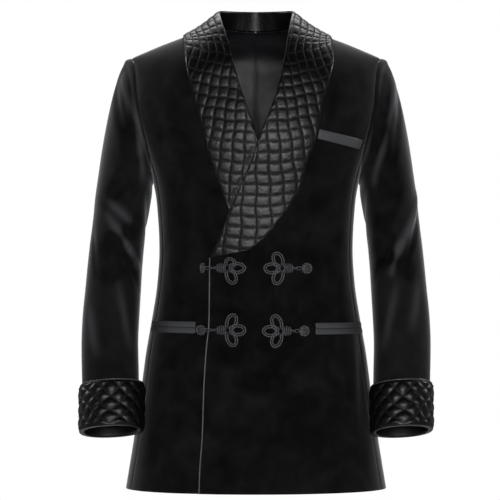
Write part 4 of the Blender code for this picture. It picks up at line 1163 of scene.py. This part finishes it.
def rings_round(path, ways, radius, sides, closed=False, strands=0, pitch=6.0, start=0.0):
    """Points and faces of a round cord along a path; strands twist round it at their pitch."""
    path, ways = np.asarray(path, float), np.asarray(ways, float)
    count = len(path)
    if closed:
        along = np.roll(path, -1, 0) - np.roll(path, 1, 0)
    else:
        along = np.gradient(path, axis=0)
    along /= np.linalg.norm(along, axis=1, keepdims=True)
    across = np.cross(along, ways)
    across /= np.linalg.norm(across, axis=1, keepdims=True)
    out = np.cross(across, along)
    steps = np.linalg.norm(np.diff(path, axis=0), axis=1)
    gone = np.concatenate([[0.0], np.cumsum(steps)])
    turns = 2 * np.pi * (np.arange(sides) + 0.5) / sides
    radii = np.broadcast_to(np.asarray(radius, float), (count,))[:, None]
    if strands:
        lobes = np.cos(strands * turns[None] - 2 * np.pi * gone[:, None] / pitch + start)
        radii = radii * (1 - STRAND_DEPTH * (1 - lobes))
    wide = np.cos(turns)[None, :, None] * across[:, None]
    high = np.sin(turns)[None, :, None] * out[:, None]
    points = (path[:, None] + (wide + high) * radii[..., None]).reshape(-1, 3)
    faces = []
    for k in range(count if closed else count - 1):
        a, b = k * sides, (k + 1) % count * sides
        faces += [[a + i, a + (i + 1) % sides, b + (i + 1) % sides, b + i] for i in range(sides)]
    if not closed:
        faces.append(list(range(sides)))
        faces.append(list(range((count - 1) * sides, count * sides)))
    return points, faces


def cords(name, parts, material, node):
    """One piece from several cords or knobs, each given as points and faces."""
    points, faces, count = [], [], 0
    for more, quads in parts:
        points.append(more)
        faces += [[count + number for number in face] for face in quads]
        count += len(more)
    made = solid(name, np.concatenate(points) * MM, faces, (material,))
    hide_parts(node)
    return made


for side in SIGNS:
    rows, columns = CUFF_ROWS * CUFF_PARTS[0], CUFF_COLUMNS * CUFF_PARTS[1]
    heights = [CUFF_TOP, CUFF_TOP - CUFF_RIM]
    heights += [mix(CUFF_TOP, CUFF_BOTTOM, k / rows) for k in range(1, rows + 1)]
    turns = [360 * i / columns for i in range(columns)]
    face = [[cuff_ring(side, turn, z, 0.0) for turn in turns] for z in heights]
    for inward, below in TURNED_IN:
        face.append([cuff_ring(side, turn, CUFF_BOTTOM - below, -inward) for turn in turns])
    face = np.array(face)
    down = [0.0, 0.03] + [CUFF_ROWS * k / rows for k in range(1, rows + 1)]
    v = np.array(down + [CUFF_ROWS] * len(TURNED_IN))
    u = CUFF_COLUMNS * np.arange(columns) / columns
    out = ways_out(face, face.mean(axis=(0, 1))[:2], closed=True)
    one_way, other_way = (u[None] + v[:, None]) / 2, (u[None] - v[:, None]) / 2
    strayed = one_way + 2 * WANDER * np.sin(2.1 * other_way + 1.0)
    other_way = other_way + 2 * WANDER * np.sin(1.7 * one_way)
    one_way = strayed
    squares = hump(one_way, CUFF_FULL) * hump(other_way, CUFF_FULL)
    squares = squares * (1 - UNEVEN * uneven(one_way, other_way))
    free = np.clip(v / CUFF_FLAT, 0, 1) * np.clip((CUFF_ROWS - v) / CUFF_FLAT, 0, 1)
    made = shell(
        f"satin_cuff_{side}",
        face,
        out,
        SATIN_WALL,
        (satin, lining),
        closed=True,
        puff=CUFF_RISE * squares**PILLOW_TOP * free[:, None],
        # this point mark paints shade along the stitching, and roughens the satin there
        marks={"sewn": np.maximum(stitched(one_way), stitched(other_way)) * free[:, None]},
    )
    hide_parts(f"cuff_{side}")
    top = CUFF_TOP + (PIPING + PIPING_CLEAR)
    path = np.array([cuff_ring(side, turn, top, -PIPING) for turn in turns])
    ways = path - path.mean(axis=0)
    parts = [rings_round(path, ways, PIPING, CORD_SIDES, closed=True)]
    cords(f"satin_cuff_piping_{side}", parts, satin_painted_lighter, f"cuff_piping_{side}")

# Piping of the front edge
# A satin-covered cord sewn along the open edge of the left front, from the collar to the hem.
EDGE_CORD = 1.25
EDGE_CLEAR = 0.1
EDGE_LIFT = 0.3
EDGE_POINTS = 201
path, ways = [], []
for k in range(EDGE_POINTS):
    z = mix(HEM, LAPEL_FOOT, k / (EDGE_POINTS - 1))
    x = column(FRONT_EDGES, z, "left") - PIPING - EDGE_CLEAR
    point, way = on_front("left", x, z, -WALL / 2 + EDGE_LIFT)
    path.append(tuple(point))
    ways.append(tuple(way))
parts = [rings_round(path, ways, EDGE_CORD, CORD_SIDES)]
cords("satin_front_edge_piping", parts, satin_painted_lighter, "front_edge_piping")

# Pockets: a welt on the breast and two jetted pockets below
# Satin bands on the velvet. The lower pockets have two narrow jets with a slit between them, and
# the breast pocket has one slanting welt.
Pocket = namedtuple("Pocket", "side from_x to_turn top")
LOWER_POCKETS = (Pocket("right", -103.5, 77.0, -510.0), Pocket("left", 99.5, 80.0, -512.5))
JET = 9.6
JET_WALL = 1.2
SLIT = 0.5
JET_FULL = 0.7  # how far a band swells in its middle
WELT_FULL = 0.8
Welt = namedtuple("Welt", "from_x from_z to_x to_z height")
BREAST_WELT = Welt(106.5, -184.5, 181.0, -201.0, 16.0)


def strip(name, side, places, height, node, swell):
    """A satin band on the cloth, down from the places (angle, top) by its height."""
    face = []
    for k in range(5):
        row = [cloth(side, angle, z - height * k / 4, LAY + JET_WALL)[0] for angle, z in places]
        face.append([tuple(point) for point in row])
    face = finer(face, PARTS, BAND_PARTS)
    out = ways_out(face)
    edges = edge_distances(face)
    full = np.sin(np.pi * np.clip(edges[2] / (edges[2] + edges[3]), 0, 1)) ** 0.6
    both = (satin_painted_lighter, satin_painted_lighter)
    made = shell(name, face, out, JET_WALL, both, puff=swell * full, round_by=0.5)
    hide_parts(node)


for pocket in LOWER_POCKETS:
    for kind, top in (("upper", pocket.top), ("lower", pocket.top - JET - SLIT)):
        first, last = angle_at(pocket.from_x, top), SIGNS[pocket.side] * pocket.to_turn
        places = [(mix(first, last, i / 9), top) for i in range(10)]
        node = f"pocket_jet_{kind}_{pocket.side}"
        strip(f"satin_{node}", pocket.side, places, JET, node, JET_FULL)
places = []
for i in range(8):
    x = mix(BREAST_WELT.from_x, BREAST_WELT.to_x, i / 7)
    z = mix(BREAST_WELT.from_z, BREAST_WELT.to_z, i / 7)
    places.append((angle_at(x, z), z))
strip("satin_breast_welt", "left", places, BREAST_WELT.height, "breast_welt", WELT_FULL)

# Frogs: four closures of braided cord
# A doubled silk cord is laid in three loops, bound by a few turns of the same cord, and carried
# on to a knot button that is tied from it. Each frog is sewn down by hand.
Frog = namedtuple(
    "Frog", "name loops_to joint height upper_loop button_x button_radius button_wide button_on"
)
FROGS = (
    Frog("frog_upper_right", 1, -51.5, -419.5, 16.0, -90.5, 9.6, 0.42, "right"),
    Frog("frog_lower_right", 1, -51.0, -524.5, 27.0, -93.5, 9.2, 1.0, "right"),
    Frog("frog_upper_left", -1, 46.5, -420.0, 27.0, 84.0, 9.8, 1.0, "left"),
    Frog("frog_lower_left", -1, 44.0, -526.0, 27.0, 79.5, 9.8, 1.0, "left"),
)
LOOP_LONG = 27.0
LOOP_WIDE = 6.2
LOOP_ROOT = 2.9
LOOP_POINTS = 44
LOOP_SPREAD = 70.0
CLOVER_SHIFT = 4.8
CORD = 1.5
CORD_APART = 1.75  # half of the way between the two cords of a loop
CORD_TWIST = 5.5  # how far along a cord one of its strands goes once round it
CORD_LIFT = 0.5
WRAPS = (6.8, 7.2, 6.9, 6.0)  # half heights of the turns that bind the loops
WRAP_START = 1.8
WRAP_PITCH = 3.4
WRAP_POINTS = 40
WRAP_LEAN = 0.9
WRAP_LIFT = 3.2
WRAP_HALF = 2.3
WRAP_SQUARE = 0.8
WRAP_CORD = 1.4
WRAP_TWIST = 5.0
NECK_POINTS = 36
NECK_START = 12.0
NECK_TURNS = 0.75  # the two cords change sides once and a half on their way to the button
NECK_HALF = 2.3
NECK_LIFT = 2.5
NECK_CROSS = 1.2
NECK_CORD = 1.3
NECK_INTO = 0.6
# A button's cords are measured on a knob of this size. KNOB has shares of its height and radius.
BUTTON_SIZE = 9.8
BUTTON_HIGH = 8.0
BUTTON_RING = 7.4
BUTTON_CORD = 2.2
BUTTON_TWIST = 5.8
BUTTON_POINTS = 72
KNOT_TURNS = 2
KNOT_RADII = (2.6, 0.6)
KNOT_HEIGHTS = (4.6, BUTTON_HIGH - 1.6)
KNOT_CORD = 1.3
KNOT_TWIST = 5.0
KNOB = ((0.0, 0.7), (0.15, 0.93), (0.3, 0.9), (0.4, 0.6), (0.42, 0.3), (0.43, 0.08))
KNOB_SIDES = 28

# Braided silk: black, with a low shine where its strands stand proud.
braid, tree, shader = new_material(
    "braided_silk",
    Base_Color=linear("#3c3c40"),
    Specular_IOR_Level=0.6,
    Sheen_Weight=0.2,
    Sheen_Roughness=0.4,
    Sheen_Tint=linear("#d0d2d6"),
)
grainy(tree, shader, 1.1, gloss=(0.32, 0.5), strength=0.4, depth=0.25)


def clover_path(upper_loop):
    """The three loops of a frog as one line about their middle, from one end to the other."""
    path = []
    loops = ((LOOP_SPREAD, upper_loop), (0.0, LOOP_LONG), (-LOOP_SPREAD, LOOP_LONG))
    for direction, reach in loops:
        turn = math.radians(direction)
        for k in range(LOOP_POINTS):
            t = (k + 0.5) / LOOP_POINTS
            along = LOOP_ROOT + (reach - LOOP_ROOT) * (1 - math.cos(2 * math.pi * t)) / 2
            bulge = math.sin(2 * math.pi * t) * math.sin(math.pi * t) ** 0.4
            aside = LOOP_ROOT * math.cos(math.pi * t) + LOOP_WIDE * bulge
            across = along * math.cos(turn) - aside * math.sin(turn)
            up = along * math.sin(turn) + aside * math.cos(turn)
            path.append((across, up))
    return np.array(path)


def lay_cord(places, radius, twist=CORD_TWIST, start=0.0, sides=CORD_SIDES, closed=False):
    """A cord of three strands through places, each given as a point and the way out there."""
    path, ways = [tuple(point) for point, way in places], [tuple(way) for point, way in places]
    return rings_round(path, ways, radius, sides, closed, strands=3, pitch=twist, start=start)


for frog in FROGS:
    middle_x = frog.joint + frog.loops_to * CLOVER_SHIFT
    flat = clover_path(frog.upper_loop)
    flat[:, 0] = middle_x + frog.loops_to * flat[:, 0]
    flat[:, 1] += frog.height
    run = np.gradient(flat, axis=0)
    run /= np.linalg.norm(run, axis=1, keepdims=True)
    parts = []
    for offset in (-CORD_APART, CORD_APART):
        beside = flat + np.stack([-run[:, 1], run[:, 0]], axis=1) * offset
        places = [on_front("left", x, z, LAY + CORD + CORD_LIFT) for x, z in beside]
        parts.append(lay_cord(places, CORD, start=offset))
    cords(f"silk_{frog.name}_loops", parts, braid, f"{frog.name}_loops")

    parts = []
    for wrap, half_high in enumerate(WRAPS):
        along = WRAP_START + WRAP_PITCH * wrap
        places = []
        for i in range(WRAP_POINTS):
            turn = 2 * math.pi * i / WRAP_POINTS
            x = frog.joint - frog.loops_to * (along + WRAP_LEAN * math.sin(turn))
            centre, way = on_front("left", x, frog.height, LAY + WRAP_LIFT)
            up = Vector((0, 0, half_high * power(math.cos(turn), WRAP_SQUARE)))
            aside = up + way * WRAP_HALF * power(math.sin(turn), WRAP_SQUARE)
            places.append((centre + aside, aside))
        parts.append(lay_cord(places, WRAP_CORD, WRAP_TWIST, closed=True))
    reach = abs(frog.button_x - frog.joint) - frog.button_radius * frog.button_wide * NECK_INTO
    for offset in (-1.0, 1.0):
        places = []
        for k in range(NECK_POINTS):
            turn = NECK_TURNS * 2 * math.pi * k / (NECK_POINTS - 1)
            x = frog.joint - frog.loops_to * mix(NECK_START, reach, k / (NECK_POINTS - 1))
            high = frog.height + offset * NECK_HALF * math.cos(turn)
            lift = LAY + NECK_LIFT + offset * NECK_CROSS * math.sin(turn)
            places.append(on_front("left", x, high, lift))
        parts.append(lay_cord(places, NECK_CORD, start=offset))
    cords(f"silk_{frog.name}_barrel", parts, braid, f"{frog.name}_barrel")

    base, way = on_front(frog.button_on, frog.button_x, frog.height, LAY)
    across = (Vector((1, 0, 0)) - way * way.x).normalized()
    up = way.cross(across)
    across *= frog.button_wide
    size = frog.button_radius / BUTTON_SIZE
    ring, knot, knob = [], [], []
    for k in range(BUTTON_POINTS):
        turn = 2 * math.pi * k / BUTTON_POINTS
        out = across * math.cos(turn) + up * math.sin(turn)
        ring.append((base + out * BUTTON_RING * size + way * KNOT_HEIGHTS[0], way))
    for k in range(BUTTON_POINTS):
        turn, share = KNOT_TURNS * 2 * math.pi * k / BUTTON_POINTS, k / BUTTON_POINTS
        out = across * math.cos(turn) + up * math.sin(turn)
        radius = mix(*KNOT_RADII, share) * size
        knot.append((base + out * radius + way * mix(*KNOT_HEIGHTS, share), way))
    for high, wide in KNOB:
        centre = base + way * BUTTON_HIGH * high
        for i in range(KNOB_SIDES):
            turn = 2 * math.pi * i / KNOB_SIDES
            out = across * math.cos(turn) + up * math.sin(turn)
            knob.append(tuple(centre + out * frog.button_radius * wide))
    parts = [lay_cord(ring, BUTTON_CORD * size, BUTTON_TWIST, sides=12, closed=True)]
    parts.append(lay_cord(knot, KNOT_CORD * size, KNOT_TWIST))
    faces = []
    for first in range(0, len(knob) - KNOB_SIDES, KNOB_SIDES):
        for i in range(KNOB_SIDES):
            a, b = first + i, first + (i + 1) % KNOB_SIDES
            faces.append([a, b, b + KNOB_SIDES, a + KNOB_SIDES])
    faces += [list(range(KNOB_SIDES)), list(range(len(knob) - KNOB_SIDES, len(knob)))]
    parts.append((np.array(knob), faces))
    cords(f"silk_{frog.name}_button", parts, braid, f"{frog.name}_button")

# Floor, light and camera
# A pale floor far below, and a surround that looks white but lights the jacket only dimly, and
# least from overhead. One wide lamp stands in front, one at each side and one behind.
floor_tone, tree, shader = new_material(
    "painted_floor", Base_Color=linear("#f2f2f2"), Roughness=0.7
)
bpy.ops.mesh.primitive_circle_add(vertices=96, radius=1.3, fill_type="NGON", location=(0, 0, -1.5))
floor = bpy.context.object
floor.name = "floor"
floor.data.materials.append(floor_tone)

camera = bpy.data.objects.new("camera", bpy.data.cameras.new("camera"))
bpy.context.collection.objects.link(camera)
camera.location = (-0.0104, -5.0, -0.389)
camera.rotation_euler = (math.radians(90), 0, 0)
camera.data.lens = 208.1
camera.data.sensor_width = 36.0
camera.data.clip_end = 60.0
bpy.context.scene.camera = camera

bpy.context.scene.view_settings.view_transform = "Standard"
world = bpy.data.worlds.new("studio")
bpy.context.scene.world = world
world.use_nodes = True
tree = world.node_tree
tree.nodes.clear()
seen = add_node(tree, "ShaderNodeBackground", Color=linear("#ffffff"), Strength=1.0)
way = add_node(tree, "ShaderNodeTexCoord")
parts = add_node(tree, "ShaderNodeSeparateXYZ", Vector=way.outputs["Generated"])
walls = add_node(
    tree,
    "ShaderNodeMapRange",
    {"interpolation_type": "SMOOTHSTEP"},
    Value=parts.outputs["Z"],
    From_Min=0.0,
    From_Max=0.45,
    To_Min=0.2,
    To_Max=0.01,
)
around = add_node(
    tree,
    "ShaderNodeBackground",
    Color=linear("#ffffff"),
    Strength=walls.outputs["Result"],
)
path = add_node(tree, "ShaderNodeLightPath")
both = add_node(
    tree,
    "ShaderNodeMixShader",
    _0=path.outputs["Is Camera Ray"],
    _1=around.outputs[0],
    _2=seen.outputs[0],
)
add_node(tree, "ShaderNodeOutputWorld", Surface=both.outputs[0])


JACKET_MIDDLE = (0, 0, -0.4)  # in metres


def softbox(name, place, size, power_w):
    """A large soft light that looks at the middle of the jacket."""
    bpy.ops.object.light_add(type="AREA", location=place)
    lamp = bpy.context.object
    lamp.name = name
    lamp.data.shape = "RECTANGLE"
    lamp.data.size, lamp.data.size_y = size
    lamp.data.energy = power_w
    aim = Vector(JACKET_MIDDLE) - lamp.location
    lamp.rotation_euler = aim.to_track_quat("-Z", "Y").to_euler()


softbox("key", (0.4, -5.4, 0.15), (2.8, 1.0), 135)
softbox("side_left", (2.2, 0.7, 1.0), (0.7, 1.2), 26)
softbox("side_right", (-2.2, 0.7, 1.0), (0.7, 1.2), 26)
softbox("back", (0.0, 2.0, 2.2), (3.0, 1.0), 54)
